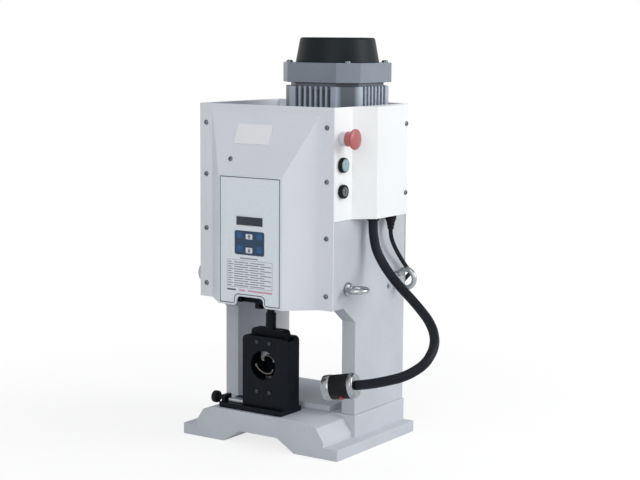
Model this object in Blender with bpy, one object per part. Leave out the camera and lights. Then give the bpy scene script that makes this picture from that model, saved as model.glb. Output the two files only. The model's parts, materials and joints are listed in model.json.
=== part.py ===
"""Bench-top terminal crimping machine: an electric press on two side frames, with its crimping die,
geared motor, operator panel, side electrical box and gooseneck lamp.

The machine is modelled in its own datum: X = 0 is its plane of symmetry, Y = 0 the front of the
cover flange and Z = 0 the bench. The empty machine_datum then carries every piece to the place where
the middle of the footprint is the origin.
"""

import math

import bmesh
import bpy
from mathutils import Matrix, Vector

MM = 0.001

# Fits shared by the whole machine
GAP = 0.3 * MM
OVERRUN = 4 * MM
SHEET = 1.5 * MM
TURN = 2 * math.pi

# Base casting: half widths and heights of its bridge-shaped section
BASE_FRONT = -16.5 * MM
BASE_REAR_INSET = 2 * MM
FOOT_SHELF = 22 * MM
FOOT_HEIGHT = 17 * MM
RAIL_INSET = 25 * MM
RAIL_HEIGHT = 25 * MM
SHOULDER_INSET = 38 * MM
SHOULDER_HEIGHT = 44 * MM
TABLE_INSET = 60 * MM
TABLE_HEIGHT = 50 * MM
ARCH_HALF_FOOT = 65 * MM
ARCH_HALF_CROWN = 34 * MM
ARCH_HEIGHT = 19 * MM
PAD_MARGIN = 2.5 * MM
PAD_INSET = 12 * MM
TABLE_PLATE_FRONT = 58 * MM
TABLE_PLATE_REAR_INSET = 6.5 * MM
TABLE_PLATE_INSET = 4 * MM
TABLE_PLATE_THICKNESS = 8.7 * MM

# Side frames: C-shaped plates that stand on the base and carry the head
FRAME_THICKNESS = 23.5 * MM
LEG_FRONT = 63 * MM
HEAD_BOTTOM = 216 * MM
CHAMFER_BOTTOM = 191 * MM
CHAMFER_FRONT = 30 * MM
RIGGING_HOLE_RADIUS = 4.2 * MM
RIGGING_HOLE_DEPTH = 12 * MM
RIGGING_HOLE_INSET = 46.8 * MM
RIGGING_HOLE_Z = 233 * MM

# Sheet-metal housing
WALL_STANDOFF = 1 * MM
HOUSING_TOP = 510 * MM
LIP_WIDTH = 22 * MM
BOX_BOTTOM = 346 * MM
FLARE_START = 48 * MM
BOX_REACH = 26.8 * MM
BOX_REAR_INSET = 44.3 * MM

# Front cover: a flat flange round a hipped panel
FLANGE_WIDTH = 23 * MM
SLOPE_TOP = 500 * MM
PANEL_HALF_WIDTH = 57.2 * MM
PANEL_TOP = 409.6 * MM
PANEL_DEPTH = 37.3 * MM
NOTCH_HALF_WIDTH = 24 * MM
NOTCH_HEIGHT = 14 * MM
NOTCH_RADIUS = 6 * MM
FILM_MARGIN = 1.2 * MM
FILM_THICKNESS = 0.6 * MM
DISPLAY_WIDTH = 46.6 * MM
DISPLAY_HEIGHT = 12.6 * MM
DISPLAY_Z = 342.5 * MM
LABEL_THICKNESS = 0.8 * MM
BADGE_WIDTH = 63 * MM
BADGE_HEIGHT = 30.5 * MM
BADGE_X = -11 * MM
BADGE_Z = 467.5 * MM

# Holes for the cover screws
SCREW_HOLE_RADIUS = 2.3 * MM
SCREW_LENGTH = 10 * MM
COVER_SCREW_INSET = 12 * MM
COVER_SCREW_HEIGHTS = (237 * MM, 321.4 * MM, 403.5 * MM, 481 * MM)
SLOPE_SCREW_X = -42 * MM
SLOPE_SCREW_Z = 431 * MM
BOX_SCREW_INSET = 5 * MM
BOX_SCREW_HEIGHTS = (378.5 * MM, 481.8 * MM)

# Lifting eyes screwed into the frames' outer faces
EYE_RING_RADIUS = 14 * MM
EYE_BAR_RADIUS = 4 * MM
EYE_HEIGHT = 36 * MM
EYE_COLLAR_RADIUS = 10 * MM
EYE_COLLAR_HEIGHT = 7 * MM
EYE_NECK_RADIUS = 6 * MM
EYE_SHANK_RADIUS = 4 * MM
EYE_SHANK_LENGTH = 13 * MM
EYE_FRONT_Y = 40 * MM
EYE_REAR_INSET = 24.5 * MM
EYE_Z = 244 * MM

# Head, ram and crank
RAM_AXIS_Y = 15 * MM
RAM_HALF_WIDTH = 42 * MM
RAM_HALF_DEPTH = 21 * MM
RAM_RISE = 42 * MM
RAM_STROKE = 30 * MM
CRANK_HEIGHT = 330 * MM
PIN_RADIUS = 8 * MM
CRANK_BEARING_RADIUS = 15 * MM
CRANK_BEARING_LENGTH = 34 * MM
SLOT_SIDE_CLEARANCE = 1.5 * MM
SLOT_TOP_CLEARANCE = 3.5 * MM
CHEEK_RADIUS = 33 * MM
CHEEK_THICKNESS = 11.5 * MM
CHEEK_OFFSET = 2 * MM
RECESS_CLEARANCE = 2 * MM
HEAD_DEPTH = 73 * MM
HEAD_RISE = 70 * MM
JOURNAL_RADIUS = 17.5 * MM
MAIN_BEARING_RADIUS = 31 * MM
MAIN_BEARING_WIDTH = 18 * MM
WHEEL_SEAT_RADIUS = 10 * MM
GIB_OUTER = 62 * MM
GIB_LIP_REACH = 8 * MM
GIB_LIP_THICKNESS = 6 * MM
GIB_RISE = 62 * MM
HOOK_HALF_WIDTH = 17 * MM
HOOK_HALF_DEPTH = 17 * MM
HOOK_HEIGHT = 9.2 * MM
HOOK_FLOOR = 3.2 * MM
HOOK_STEM_RADIUS = 8 * MM
HOOK_STEM_LENGTH = 32 * MM
POST_HEAD_RADIUS = 9.2 * MM
POST_HEAD_HEIGHT = 3.2 * MM

# Worm gear: centre distance, and outer radii that keep a running clearance
GEAR_CENTRE_DISTANCE = 40 * MM
WHEEL_RADIUS = 31 * MM
WHEEL_WIDTH = 16 * MM
WHEEL_TEETH = 30
WHEEL_TOOTH_DEPTH = 3.4 * MM
WHEEL_HUB_RADIUS = 16 * MM
WHEEL_HUB_LENGTH = 5 * MM
WORM_ROOT_RADIUS = 6.2 * MM
WORM_RADIUS = 8.6 * MM
WORM_LENGTH = 44 * MM
WORM_THREAD_COUNT = 7
CASE_WALL = 6 * MM
CASE_CLEARANCE = 2 * MM
CASE_SHAFT_CLEARANCE = 2.4 * MM
CASE_FLANGE_RADIUS = 45 * MM

# Motor
MOTOR_BODY_HALF = 66.5 * MM
MOTOR_SIDE_ROOM = 14.5 * MM
MOTOR_REAR_ROOM = 5.4 * MM
MOTOR_RISE = 109.7 * MM
MOTOR_BODY_HEIGHT = 97.3 * MM
MOTOR_CHAMFER_SHARE = 0.391
MOTOR_NECK_INSET = 5.5 * MM
MOTOR_NECK_HEIGHT = 5 * MM
FIN_COUNT = 8
FIN_PITCH_SHARE = 0.142857
FIN_THICKNESS = 3.6 * MM
FIN_DEPTH = 7 * MM
END_PLATE_PROUD = 3 * MM
END_PLATE_THICKNESS = 29.3 * MM
MOTOR_SCREW_INSET = 14.5 * MM
SHAFT_RADIUS = 8 * MM
SHAFT_CLEARANCE = 0.5 * MM
FAN_COVER_INSET = 3.5 * MM
FAN_COVER_TAPER = 6.5 * MM
FAN_COVER_HEIGHT = 36.8 * MM
FAN_COVER_WALL = 2.2 * MM
FAN_COVER_EDGE = 2.4 * MM
GRILLE_SLOTS = 20
GRILLE_INNER_RADIUS = 14 * MM
GRILLE_INSET = 9.5 * MM
GRILLE_SLOT_WIDTH = 3.6 * MM
FAN_BLADES = 7
FAN_CLEARANCE = 6.5 * MM
FAN_HUB_RADIUS = 13 * MM
FAN_HEIGHT = 20 * MM
FAN_BLADE_THICKNESS = 2 * MM
FAN_LIFT = 5 * MM

# Controls on the right side wall
SWITCH_Y = 21 * MM
ESTOP_DROP = 45 * MM
CONTROL_PITCH = 38 * MM
SWITCH_BARREL_RADIUS = 8 * MM
SWITCH_BARREL_LENGTH = 15.5 * MM
SWITCH_BLOCK_HALF = 12 * MM
SWITCH_BLOCK_LENGTH = 30 * MM
SWITCH_CUP_RADIUS = 6 * MM
STEM_RADIUS = 5 * MM
STEM_END_INSET = 2 * MM
ESTOP_TRAVEL = 4 * MM
ESTOP_COLLAR_RADIUS = 10.2 * MM
ESTOP_COLLAR_LENGTH = 11.5 * MM
ESTOP_SKIRT_RADIUS = 11 * MM
ESTOP_SKIRT_START = 9.5 * MM
ESTOP_SKIRT_LENGTH = 7 * MM
ESTOP_HEAD_RADIUS = 15 * MM
ESTOP_FLARE_LENGTH = 4.5 * MM
ESTOP_RIM = 2 * MM
ESTOP_DOME = 3 * MM
START_RING_RADIUS = 11 * MM
START_RING_LENGTH = 6.4 * MM
START_CAP_RADIUS = 9.1 * MM
START_CAP_DEPTH = 2.2 * MM
START_CAP_PROUD = 1 * MM
START_TRAVEL = 3 * MM
KEY_BODY_RADIUS = 10.1 * MM
KEY_BODY_LENGTH = 6 * MM
KEY_CYLINDER_RADIUS = 7 * MM
KEY_CYLINDER_LENGTH = 15 * MM
KEYWAY_WIDTH = 2 * MM
KEYWAY_LENGTH = 8 * MM
KEYWAY_DEPTH = 6 * MM

# Control board behind the panel
BOARD_WIDTH = 90 * MM
BOARD_BOTTOM = 245 * MM
BOARD_TOP = 390 * MM
BOARD_THICKNESS = 1.6 * MM
BOARD_STANDOFF = 5 * MM
BOARD_STANDOFF_RADIUS = 3 * MM
RELAY_HEIGHT = 9 * MM
RELAY_SIZE = 16 * MM

# Gooseneck lamp
HOSE_RADIUS = 7 * MM
HOSE_STANDOFF = 13.5 * MM
HOSE_Y = 86 * MM
SOCKET_RADIUS = 9 * MM
SOCKET_HEIGHT = 4 * MM
SOCKET_STEM_RADIUS = 6 * MM
SOCKET_NUT_RADIUS = 10 * MM
SOCKET_NUT_HEIGHT = 4.5 * MM
SOCKET_STEM_TOP = 11 * MM
LAMP_STANDOFF = Vector((75.6 * MM, -52.7 * MM, 127.8 * MM))
LAMP_AIM = Vector((-0.971, -0.169, -0.178)).normalized()
LAMP_RING_RADIUS = 18.4 * MM
LAMP_BODY_RADIUS = 17.6 * MM
LAMP_REAR_RING = 8 * MM
LAMP_BODY_LENGTH = 27.7 * MM
LAMP_FRONT_RING = 11.4 * MM
LAMP_RING_WALL = 4 * MM
LAMP_LENS_THICKNESS = 2 * MM
LAMP_KNURLS = 20
LAMP_KNURL_DEPTH = 0.6 * MM
LAMP_SWITCH_RADIUS = 3.4 * MM
LAMP_SWITCH_STATION = 12.5 * MM
LAMP_SWITCH_FOOT = 11 * MM
LAMP_SWITCH_PROUD = 1.8 * MM
LAMP_SWITCH_AIM = Vector((0.38, -0.56, -0.74))
# Bends in mm, across from the side wall
HOSE_BENDS = (
    (15, 86, 319), (19, 87, 300), (29, 87, 282), (44, 84, 266), (65, 78, 250), (90, 69, 235),
    (115, 57, 221), (137, 42, 209), (153, 27, 196), (162, 12, 184), (165, -3, 173), (163, -16, 163),
    (155, -28, 154), (142, -38, 146), (125, -45, 140), (108, -48, 135),
)

# Mains cord, its gland under the box, its coil on the bench and its plug
CORD_RADIUS = 3.2 * MM
CORD_STANDOFF = 13 * MM
CORD_INSET = 23 * MM
GLAND_RADIUS = 8.4 * MM
GLAND_TIP_RADIUS = 4.6 * MM
GLAND_HEIGHT = 22 * MM
COIL_INSET = 183 * MM
COIL_STANDOFF = 53.7 * MM
COIL_RADIUS = 37 * MM
COIL_HALF_WIDTH = 12.4 * MM
COIL_HEIGHT = 13.4 * MM
PLUG_LENGTH = 42 * MM
PLUG_WIDTH = 26 * MM
PLUG_HEIGHT = 20 * MM
PLUG_NOSE = 12 * MM
PLUG_PIN_WIDTH = 6.3 * MM
PLUG_PIN_THICKNESS = 1.6 * MM
PLUG_PIN_LENGTH = 17 * MM
PLUG_PIN_PITCH = 12.7 * MM
PLUG_NOSE_RADIUS = 4.6 * MM
PLUG_OFFSET = 36 * MM
# Bends in mm, from the corner of the side wall and the rear wall
CORD_DROP = (
    (13, -64.5, 310.5), (12.4, -55.3, 297.5), (11.4, -40.3, 282.5), (10, -23.3, 268), (9, -9.3, 257),
    (6.5, 2.7, 249), (-4, 11.7, 240), (-17, 16.7, 228), (-27, 20.7, 210), (-35, 24.7, 185),
    (-40, 27.7, 150), (-45, 28.7, 110), (-52, 26.7, 72), (-63, 22.7, 38), (-79, 16.7, 16),
    (-99, 11.7, 6.5), (-121, 8.7, 3.6), (-141, 7.5, 3.5), (-158.6, 7.1, 3.5),
)

# Crimping die on its base plate
DIE_HALF_WIDTH = 38 * MM
DIE_FRONT = -4 * MM
DIE_PLATE_THICKNESS = 11.7 * MM
DIE_TOP = 166 * MM
DIE_CORNER = 7 * MM
DIE_WINDOW_RADIUS = 22.5 * MM
DIE_WINDOW_Z = 122.5 * MM
DIE_SLIDE_DEPTH = 16 * MM
DIE_GUIDE_WIDTH = 7 * MM
DIE_GUIDE_TOP = 160 * MM
DIE_SLIDE_BOTTOM = 141 * MM
DIE_SLIDE_TOP = 176 * MM
POST_SHOULDER = 199.5 * MM
POST_NECK_RADIUS = 6 * MM
DIE_BASE_LEFT = -77 * MM
DIE_BASE_FRONT = -11.5 * MM
DIE_BASE_REAR = 41.5 * MM
DIE_BASE_THICKNESS = 8 * MM
LUG_THICKNESS = 7 * MM
LUG_HALF_DEPTH = 8.5 * MM
LUG_RISE = 18 * MM
UPPER_JAW_HALF_WIDTH = 14 * MM
UPPER_JAW_TIP = 126 * MM
UPPER_JAW_NOTCH_HALF = 8 * MM
UPPER_JAW_NOTCH_TOP = 137.5 * MM
JAW_DEPTH = 12 * MM
ANVIL_FOOT_HALF = 17 * MM
ANVIL_FOOT_TOP = 92 * MM
ANVIL_TIP_DISH = 2 * MM
DIE_SCREW_X = 11.4 * MM
DIE_SCREW_HIGH = 157 * MM
DIE_SCREW_LOW = 81.7 * MM
DIE_SCREW_SHORT = 7 * MM
DIE_SCREW_LONG = 20 * MM
KNOB_Y = 3 * MM
KNOB_RISE = 11.2 * MM
KNOB_RADIUS = 9.2 * MM
KNOB_LENGTH = 8 * MM
KNOB_STANDOFF = 12 * MM
KNOB_SHAFT_RADIUS = 2.5 * MM
KNOB_KNURLS = 18
KNOB_KNURL_DEPTH = 0.7 * MM
CLAMP_BAR_LENGTH = 27 * MM
CLAMP_BAR_HALF_DEPTH = 6 * MM
CLAMP_BAR_HEIGHT = 5 * MM

# Values that several pieces share, worked out from the sizes above
HEAD_FRONT = RAM_AXIS_Y + RAM_HALF_DEPTH + GAP
HEAD_REAR = HEAD_FRONT + HEAD_DEPTH
MOTOR_X = GEAR_CENTRE_DISTANCE
CASE_FRONT = HEAD_REAR + GAP
WHEEL_FRONT = CASE_FRONT + CASE_WALL + CASE_CLEARANCE + WHEEL_HUB_LENGTH
MOTOR_Y = WHEEL_FRONT + WHEEL_WIDTH / 2
HOUSING_HALF_WIDTH = MOTOR_X + MOTOR_BODY_HALF + MOTOR_SIDE_ROOM
FRAME_OUTER = HOUSING_HALF_WIDTH - WALL_STANDOFF
BASE_HALF_WIDTH = FRAME_OUTER + FOOT_SHELF
LEG_REAR = MOTOR_Y + MOTOR_BODY_HALF + MOTOR_REAR_ROOM
HOUSING_REAR = LEG_REAR + GAP + SHEET
BASE_REAR = LEG_REAR - BASE_REAR_INSET
TABLE_PLATE_REAR = LEG_REAR - TABLE_PLATE_REAR_INSET
RIGGING_HOLE_Y = LEG_REAR - RIGGING_HOLE_INSET
EYE_REAR_Y = LEG_REAR - EYE_REAR_INSET
BOX_REAR = HOUSING_REAR - BOX_REAR_INSET
BOX_SCREW_Y = BOX_REAR - BOX_SCREW_INSET
MOTOR_BODY_CHAMFER = MOTOR_BODY_HALF * MOTOR_CHAMFER_SHARE
MOTOR_NECK_HALF = MOTOR_BODY_HALF - MOTOR_NECK_INSET
FIN_PITCH = MOTOR_BODY_HALF * FIN_PITCH_SHARE
END_PLATE_HALF = MOTOR_BODY_HALF + END_PLATE_PROUD
MOTOR_SCREW_OFFSET = MOTOR_BODY_HALF - MOTOR_SCREW_INSET
FAN_COVER_BOTTOM_RADIUS = MOTOR_BODY_HALF - FAN_COVER_INSET
FAN_COVER_TOP_RADIUS = FAN_COVER_BOTTOM_RADIUS - FAN_COVER_TAPER
GRILLE_OUTER_RADIUS = FAN_COVER_TOP_RADIUS - GRILLE_INSET
FAN_RADIUS = FAN_COVER_TOP_RADIUS - FAN_CLEARANCE
ESTOP_Z = HOUSING_TOP - ESTOP_DROP
START_Z = ESTOP_Z - CONTROL_PITCH
KEY_Z = START_Z - CONTROL_PITCH
CORD_Y = BOX_REAR - CORD_INSET
COIL_X = HOUSING_HALF_WIDTH - COIL_INSET
COIL_Y = HOUSING_REAR + COIL_STANDOFF
PLUG_Y = COIL_Y + PLUG_OFFSET
LAMP_REAR = LAMP_STANDOFF + Vector((HOUSING_HALF_WIDTH, 0, 0))
RAIL_HALF_WIDTH = BASE_HALF_WIDTH - RAIL_INSET
SHOULDER_HALF_WIDTH = BASE_HALF_WIDTH - SHOULDER_INSET
TABLE_HALF_WIDTH = BASE_HALF_WIDTH - TABLE_INSET
TABLE_PLATE_HALF_WIDTH = TABLE_HALF_WIDTH - TABLE_PLATE_INSET
LIP_INNER = HOUSING_HALF_WIDTH - LIP_WIDTH
SLOPE_HALF_WIDTH = HOUSING_HALF_WIDTH - FLANGE_WIDTH
COVER_SCREW_X = HOUSING_HALF_WIDTH - COVER_SCREW_INSET
HOSE_X = HOUSING_HALF_WIDTH + HOSE_STANDOFF
CORD_X = HOUSING_HALF_WIDTH + CORD_STANDOFF
RAM_TOP = CRANK_HEIGHT + RAM_RISE
HEAD_TOP = CRANK_HEIGHT + HEAD_RISE
GIB_TOP = CRANK_HEIGHT + GIB_RISE
MOTOR_BODY_BOTTOM = CRANK_HEIGHT + MOTOR_RISE
MOTOR_BODY_TOP = MOTOR_BODY_BOTTOM + MOTOR_BODY_HEIGHT
FRAME_INNER = FRAME_OUTER - FRAME_THICKNESS
FRAME_FRONT = SHEET + GAP
FRAME_TOP = BOX_BOTTOM - GAP
CRANK_THROW = RAM_STROKE / 2
PIN_HEIGHT = CRANK_HEIGHT + CRANK_THROW
END_PLATE_BOTTOM = MOTOR_BODY_TOP + MOTOR_NECK_HEIGHT + GAP
END_PLATE_TOP = END_PLATE_BOTTOM + END_PLATE_THICKNESS
SLOPE_RUN = (SLOPE_TOP - PANEL_TOP) / PANEL_DEPTH
SLOPE_NORMAL = Vector((0, -SLOPE_RUN, 1)).normalized()
DIE_SEAT = TABLE_HEIGHT + GAP
LUG_TOP = TABLE_HEIGHT + LUG_RISE
KNOB_Z = TABLE_HEIGHT + KNOB_RISE
DIE_FOOT = DIE_SEAT + DIE_BASE_THICKNESS + GAP
DIE_SLIDE_FRONT = DIE_FRONT + DIE_PLATE_THICKNESS + GAP
DIE_REAR_PLATE_FRONT = DIE_SLIDE_FRONT + DIE_SLIDE_DEPTH + GAP
DIE_AXIS_Y = DIE_SLIDE_FRONT + DIE_SLIDE_DEPTH / 2
POST_RADIUS = DIE_SLIDE_DEPTH / 2
LAMP_FRONT = LAMP_REAR + LAMP_AIM * (LAMP_REAR_RING + LAMP_BODY_LENGTH + LAMP_FRONT_RING + 2 * GAP)
HOSE_REACH = HOUSING_HALF_WIDTH + max(point[0] for point in HOSE_BENDS) * MM + HOSE_RADIUS
EYE_REACH = FRAME_OUTER + GAP + EYE_HEIGHT
FOOTPRINT_FRONT = LAMP_FRONT.y - LAMP_RING_RADIUS
DATUM = Vector(((HOSE_REACH - EYE_REACH) / 2, (HOUSING_REAR + FOOTPRINT_FRONT) / 2, 0))

# Facets round a circle, by the size of the piece
FINE_COUNT = 32
ROUND_COUNT = 24
SMALL_COUNT = 14
TINY_COUNT = 8
WORM_ROW_COUNT = 5

# Finishes: colour, roughness and metallic value
FINISHES = {
    "light grey paint": ((0.60, 0.63, 0.68), 0.38, 0.0),
    "white paint": ((0.80, 0.82, 0.83), 0.35, 0.0),
    "grey film": ((0.62, 0.65, 0.72), 0.30, 0.0),
    "blank white label": ((0.86, 0.86, 0.86), 0.35, 0.0),
    "display glass": ((0.03, 0.04, 0.06), 0.12, 0.0),
    "dark blue keypad": ((0.02, 0.04, 0.09), 0.35, 0.0),
    "zinc plate": ((0.55, 0.57, 0.58), 0.30, 1.0),
    "black oxide steel": ((0.02, 0.02, 0.025), 0.40, 0.6),
    "ground steel": ((0.50, 0.50, 0.52), 0.28, 1.0),
    "cast aluminium": ((0.34, 0.37, 0.41), 0.45, 0.7),
    "grey iron": ((0.20, 0.21, 0.22), 0.60, 0.5),
    "bronze": ((0.45, 0.28, 0.10), 0.35, 1.0),
    "black plastic": ((0.015, 0.018, 0.02), 0.45, 0.0),
    "red plastic": ((0.50, 0.06, 0.06), 0.35, 0.0),
    "green lens": ((0.25, 0.55, 0.50), 0.15, 0.0),
    "clear lens": ((0.75, 0.80, 0.82), 0.08, 0.0),
    "grey plastic": ((0.35, 0.36, 0.38), 0.40, 0.0),
    "black rubber": ((0.02, 0.022, 0.024), 0.70, 0.0),
    "green board": ((0.03, 0.16, 0.07), 0.50, 0.0),
}


def clear_scene():
    for obj in list(bpy.data.objects):
        bpy.data.objects.remove(obj, do_unlink=True)


def finish(piece, name):
    """A material of the piece's own, with one of the machine's finishes."""
    colour, roughness, metallic = FINISHES[name]
    material = bpy.data.materials.new(f"{piece} {name}")
    material.use_nodes = True
    shader = material.node_tree.nodes["Principled BSDF"]
    shader.inputs["Base Color"].default_value = (*colour, 1)
    shader.inputs["Roughness"].default_value = roughness
    shader.inputs["Metallic"].default_value = metallic
    material.diffuse_color = (*colour, 1)
    return material


def datum():
    empty = bpy.data.objects.new("machine_datum", None)
    empty.location = -DATUM
    bpy.context.scene.collection.objects.link(empty)
    return empty


def link(obj, parent):
    bpy.context.scene.collection.objects.link(obj)
    obj.parent = parent
    return obj


def make(name, bm, finish_name, origin=None, outward=None):
    """The node: its mesh, its finish, and its origin on its joint's axis if it moves.

    An open sheet also gives the direction that its first face looks in.
    """
    bmesh.ops.recalc_face_normals(bm, faces=bm.faces)
    bm.faces.ensure_lookup_table()
    if outward and bm.faces[0].normal.dot(outward) < 0:
        bmesh.ops.reverse_faces(bm, faces=bm.faces)
    origin = Vector(origin) if origin else Vector()
    bmesh.ops.translate(bm, verts=bm.verts, vec=-origin)
    mesh = bpy.data.meshes.new(name)
    bm.to_mesh(mesh)
    bm.free()
    mesh.shade_smooth()
    mesh.set_sharp_from_angle(angle=math.radians(32))
    mesh.materials.append(finish(name, finish_name))
    obj = bpy.data.objects.new(name, mesh)
    obj.location = origin
    return link(obj, bpy.data.objects["machine_datum"])


def helper(name, bm):
    """A cutter or an adder, which only its host's modifier uses."""
    bmesh.ops.recalc_face_normals(bm, faces=bm.faces)
    mesh = bpy.data.meshes.new(name)
    bm.to_mesh(mesh)
    bm.free()
    obj = bpy.data.objects.new(name, mesh)
    obj.hide_render = True
    obj.display_type = "WIRE"
    return link(obj, bpy.data.objects["machine_datum"])


def combine(host, operation, *shapes):
    for index, shape in enumerate(shapes):
        tool = helper(f"{host.name}_{operation.lower()}_{index}", shape)
        modifier = host.modifiers.new(tool.name, "BOOLEAN")
        modifier.operation = operation
        modifier.object = tool
    return host


def cut(host, *shapes):
    return combine(host, "DIFFERENCE", *shapes)


def add(host, *shapes):
    return combine(host, "UNION", *shapes)


def prism(outline, axis, low, high):
    """A flat outline extruded along an axis. The outline's points are (y, z), (x, z) or (x, y)."""
    place = {
        "X": lambda a, b: (low, a, b),
        "Y": lambda a, b: (a, low, b),
        "Z": lambda a, b: (a, b, low),
    }[axis]
    bm = bmesh.new()
    face = bm.faces.new([bm.verts.new(place(a, b)) for a, b in outline])
    grown = bmesh.ops.extrude_face_region(bm, geom=[face])
    moved = [item for item in grown["geom"] if isinstance(item, bmesh.types.BMVert)]
    step = Vector([(high - low) * (letter == axis) for letter in "XYZ"])
    bmesh.ops.translate(bm, verts=moved, vec=step)
    return bm


def block(x, y, z):
    return prism([(x[0], y[0]), (x[1], y[0]), (x[1], y[1]), (x[0], y[1])], "Z", z[0], z[1])


def turned(profile, facets, axis="Z", place=(0, 0, 0)):
    """A profile of (radius, height) turned about its axis. A point at radius zero closes the shape."""
    bm = bmesh.new()
    points = [bm.verts.new((radius, 0, height)) for radius, height in profile]
    pairs = list(zip(points, points[1:]))
    if profile[0][0] > 0 or profile[-1][0] > 0:
        pairs.append((points[-1], points[0]))
    for first, second in pairs:
        bm.edges.new((first, second))
    bmesh.ops.spin(
        bm, geom=bm.verts[:] + bm.edges[:], axis=(0, 0, 1), cent=(0, 0, 0), steps=facets, angle=TURN,
    )
    bmesh.ops.remove_doubles(bm, verts=bm.verts, dist=MM / 1000)
    return laid(bm, axis, place)


def laid(bm, axis, place):
    """Turns a shape from +Z to another axis and moves it to its place."""
    direction = Vector([axis == letter for letter in "XYZ"]) if isinstance(axis, str) else Vector(axis)
    turn = Vector((0, 0, 1)).rotation_difference(direction).to_matrix().to_4x4()
    bmesh.ops.transform(bm, matrix=Matrix.Translation(place) @ turn, verts=bm.verts)
    return bm


def rod(radius, low, high, facets=SMALL_COUNT, axis="Z", place=(0, 0, 0)):
    return turned([(0, low), (radius, low), (radius, high), (0, high)], facets, axis, place)


def tube(inner, outer, low, high, facets=ROUND_COUNT, axis="Z", place=(0, 0, 0)):
    return turned([(inner, low), (outer, low), (outer, high), (inner, high)], facets, axis, place)


def gathered(shapes):
    """Several separate solids in one mesh."""
    whole = bmesh.new()
    for shape in shapes:
        bmesh.ops.recalc_face_normals(shape, faces=shape.faces)
        mesh = bpy.data.meshes.new("gathered")
        shape.to_mesh(mesh)
        shape.free()
        whole.from_mesh(mesh)
        bpy.data.meshes.remove(mesh)
    return whole


def baked(obj):
    """The object's evaluated shape, with the object and its helpers gone."""
    bpy.context.view_layer.update()
    graph = bpy.context.evaluated_depsgraph_get()
    bm = bmesh.new()
    bm.from_mesh(obj.evaluated_get(graph).data)
    helpers = [modifier.object for modifier in obj.modifiers if modifier.object]
    for item in [obj, *helpers]:
        bpy.data.objects.remove(item, do_unlink=True)
    return bm


def arc(centre, radius, start, end, steps):
    """Points of a circle from one angle to another, both in degrees."""
    angles = [math.radians(start + (end - start) * step / steps) for step in range(steps + 1)]
    return [(centre[0] + radius * math.cos(a), centre[1] + radius * math.sin(a)) for a in angles]


def mirrored(half):
    """A whole outline from its right half, which is given from the bottom to the top."""
    return half + [(-x, z) for x, z in reversed(half) if x > 0]


def chamfered_square(half, chamfer):
    flat = half - chamfer
    return [
        (half, flat), (flat, half), (-flat, half), (-half, flat),
        (-half, -flat), (-flat, -half), (flat, -half), (half, -flat),
    ]


def smooth_route(points, step):
    """Points on a smooth curve through a route's own points, about one step apart."""
    route = [Vector(point) for point in points]
    ends = [route[0] * 2 - route[1], *route, route[-1] * 2 - route[-2]]
    curve = []
    for a, b, c, d in zip(ends, ends[1:], ends[2:], ends[3:]):
        count = max(1, round((c - b).length / step))
        leave, arrive = (c - a) / 2, (d - b) / 2
        for index in range(count):
            t = index / count
            bend = (c - b) * 3 - leave * 2 - arrive
            curve.append(b + leave * t + bend * t * t + ((b - c) * 2 + leave + arrive) * t ** 3)
    return [*curve, route[-1]]


def base_casting():
    """A bridge-shaped section drawn front to rear, with a pad under each side frame."""
    half = [
        (0, ARCH_HEIGHT), (ARCH_HALF_CROWN, ARCH_HEIGHT), (ARCH_HALF_FOOT, 0), (BASE_HALF_WIDTH, 0),
        (BASE_HALF_WIDTH, FOOT_HEIGHT), (RAIL_HALF_WIDTH, FOOT_HEIGHT), (RAIL_HALF_WIDTH, RAIL_HEIGHT),
        (SHOULDER_HALF_WIDTH, SHOULDER_HEIGHT), (TABLE_HALF_WIDTH, TABLE_HEIGHT), (0, TABLE_HEIGHT),
    ]
    base = make("base_casting", prism(mirrored(half), "Y", BASE_FRONT, BASE_REAR), "light grey paint")
    pads = []
    for side in (-1, 1):
        inner = side * (FRAME_INNER - PAD_INSET)
        outer = side * (FRAME_OUTER + PAD_MARGIN)
        low, high = sorted((inner, outer))
        pads.append(block((low, high), (LEG_FRONT - PAD_MARGIN, LEG_REAR), (FOOT_HEIGHT / 2, TABLE_HEIGHT)))
    add(base, *pads)


def rear_table_plate():
    """The raised plate on the table behind the die."""
    low = TABLE_HEIGHT + GAP
    shape = block(
        (-TABLE_PLATE_HALF_WIDTH, TABLE_PLATE_HALF_WIDTH), (TABLE_PLATE_FRONT, TABLE_PLATE_REAR),
        (low, low + TABLE_PLATE_THICKNESS),
    )
    make("rear_table_plate", shape, "light grey paint")


def frame_outline():
    foot = TABLE_HEIGHT + GAP
    return [
        (LEG_FRONT, foot), (LEG_REAR, foot), (LEG_REAR, FRAME_TOP), (FRAME_FRONT, FRAME_TOP),
        (FRAME_FRONT, HEAD_BOTTOM), (CHAMFER_FRONT, HEAD_BOTTOM), (LEG_FRONT, CHAMFER_BOTTOM),
    ]


def side_frames():
    """Two C-shaped plates, with tapped holes for the lifting eyes and the cover screws."""
    for name, side in (("left_side_frame", -1), ("right_side_frame", 1)):
        inner, outer = sorted((side * FRAME_INNER, side * FRAME_OUTER))
        frame = make(name, prism(frame_outline(), "X", inner, outer), "light grey paint")
        holes = []
        for y in (EYE_FRONT_Y, EYE_REAR_Y):
            depth = EYE_SHANK_LENGTH + GAP
            place = (side * FRAME_OUTER, y, EYE_Z)
            holes.append(rod(EYE_SHANK_RADIUS + GAP, -depth, OVERRUN, SMALL_COUNT, (side, 0, 0), place))
        place = (side * FRAME_OUTER, RIGGING_HOLE_Y, RIGGING_HOLE_Z)
        holes.append(rod(RIGGING_HOLE_RADIUS, -RIGGING_HOLE_DEPTH, OVERRUN, SMALL_COUNT, (side, 0, 0), place))
        for z in COVER_SCREW_HEIGHTS[:2]:
            depth = SCREW_LENGTH + GAP
            place = (side * COVER_SCREW_X, 0, z)
            holes.append(rod(SCREW_HOLE_RADIUS, -OVERRUN, depth, TINY_COUNT, "Y", place))
        cut(frame, gathered(holes))


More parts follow.
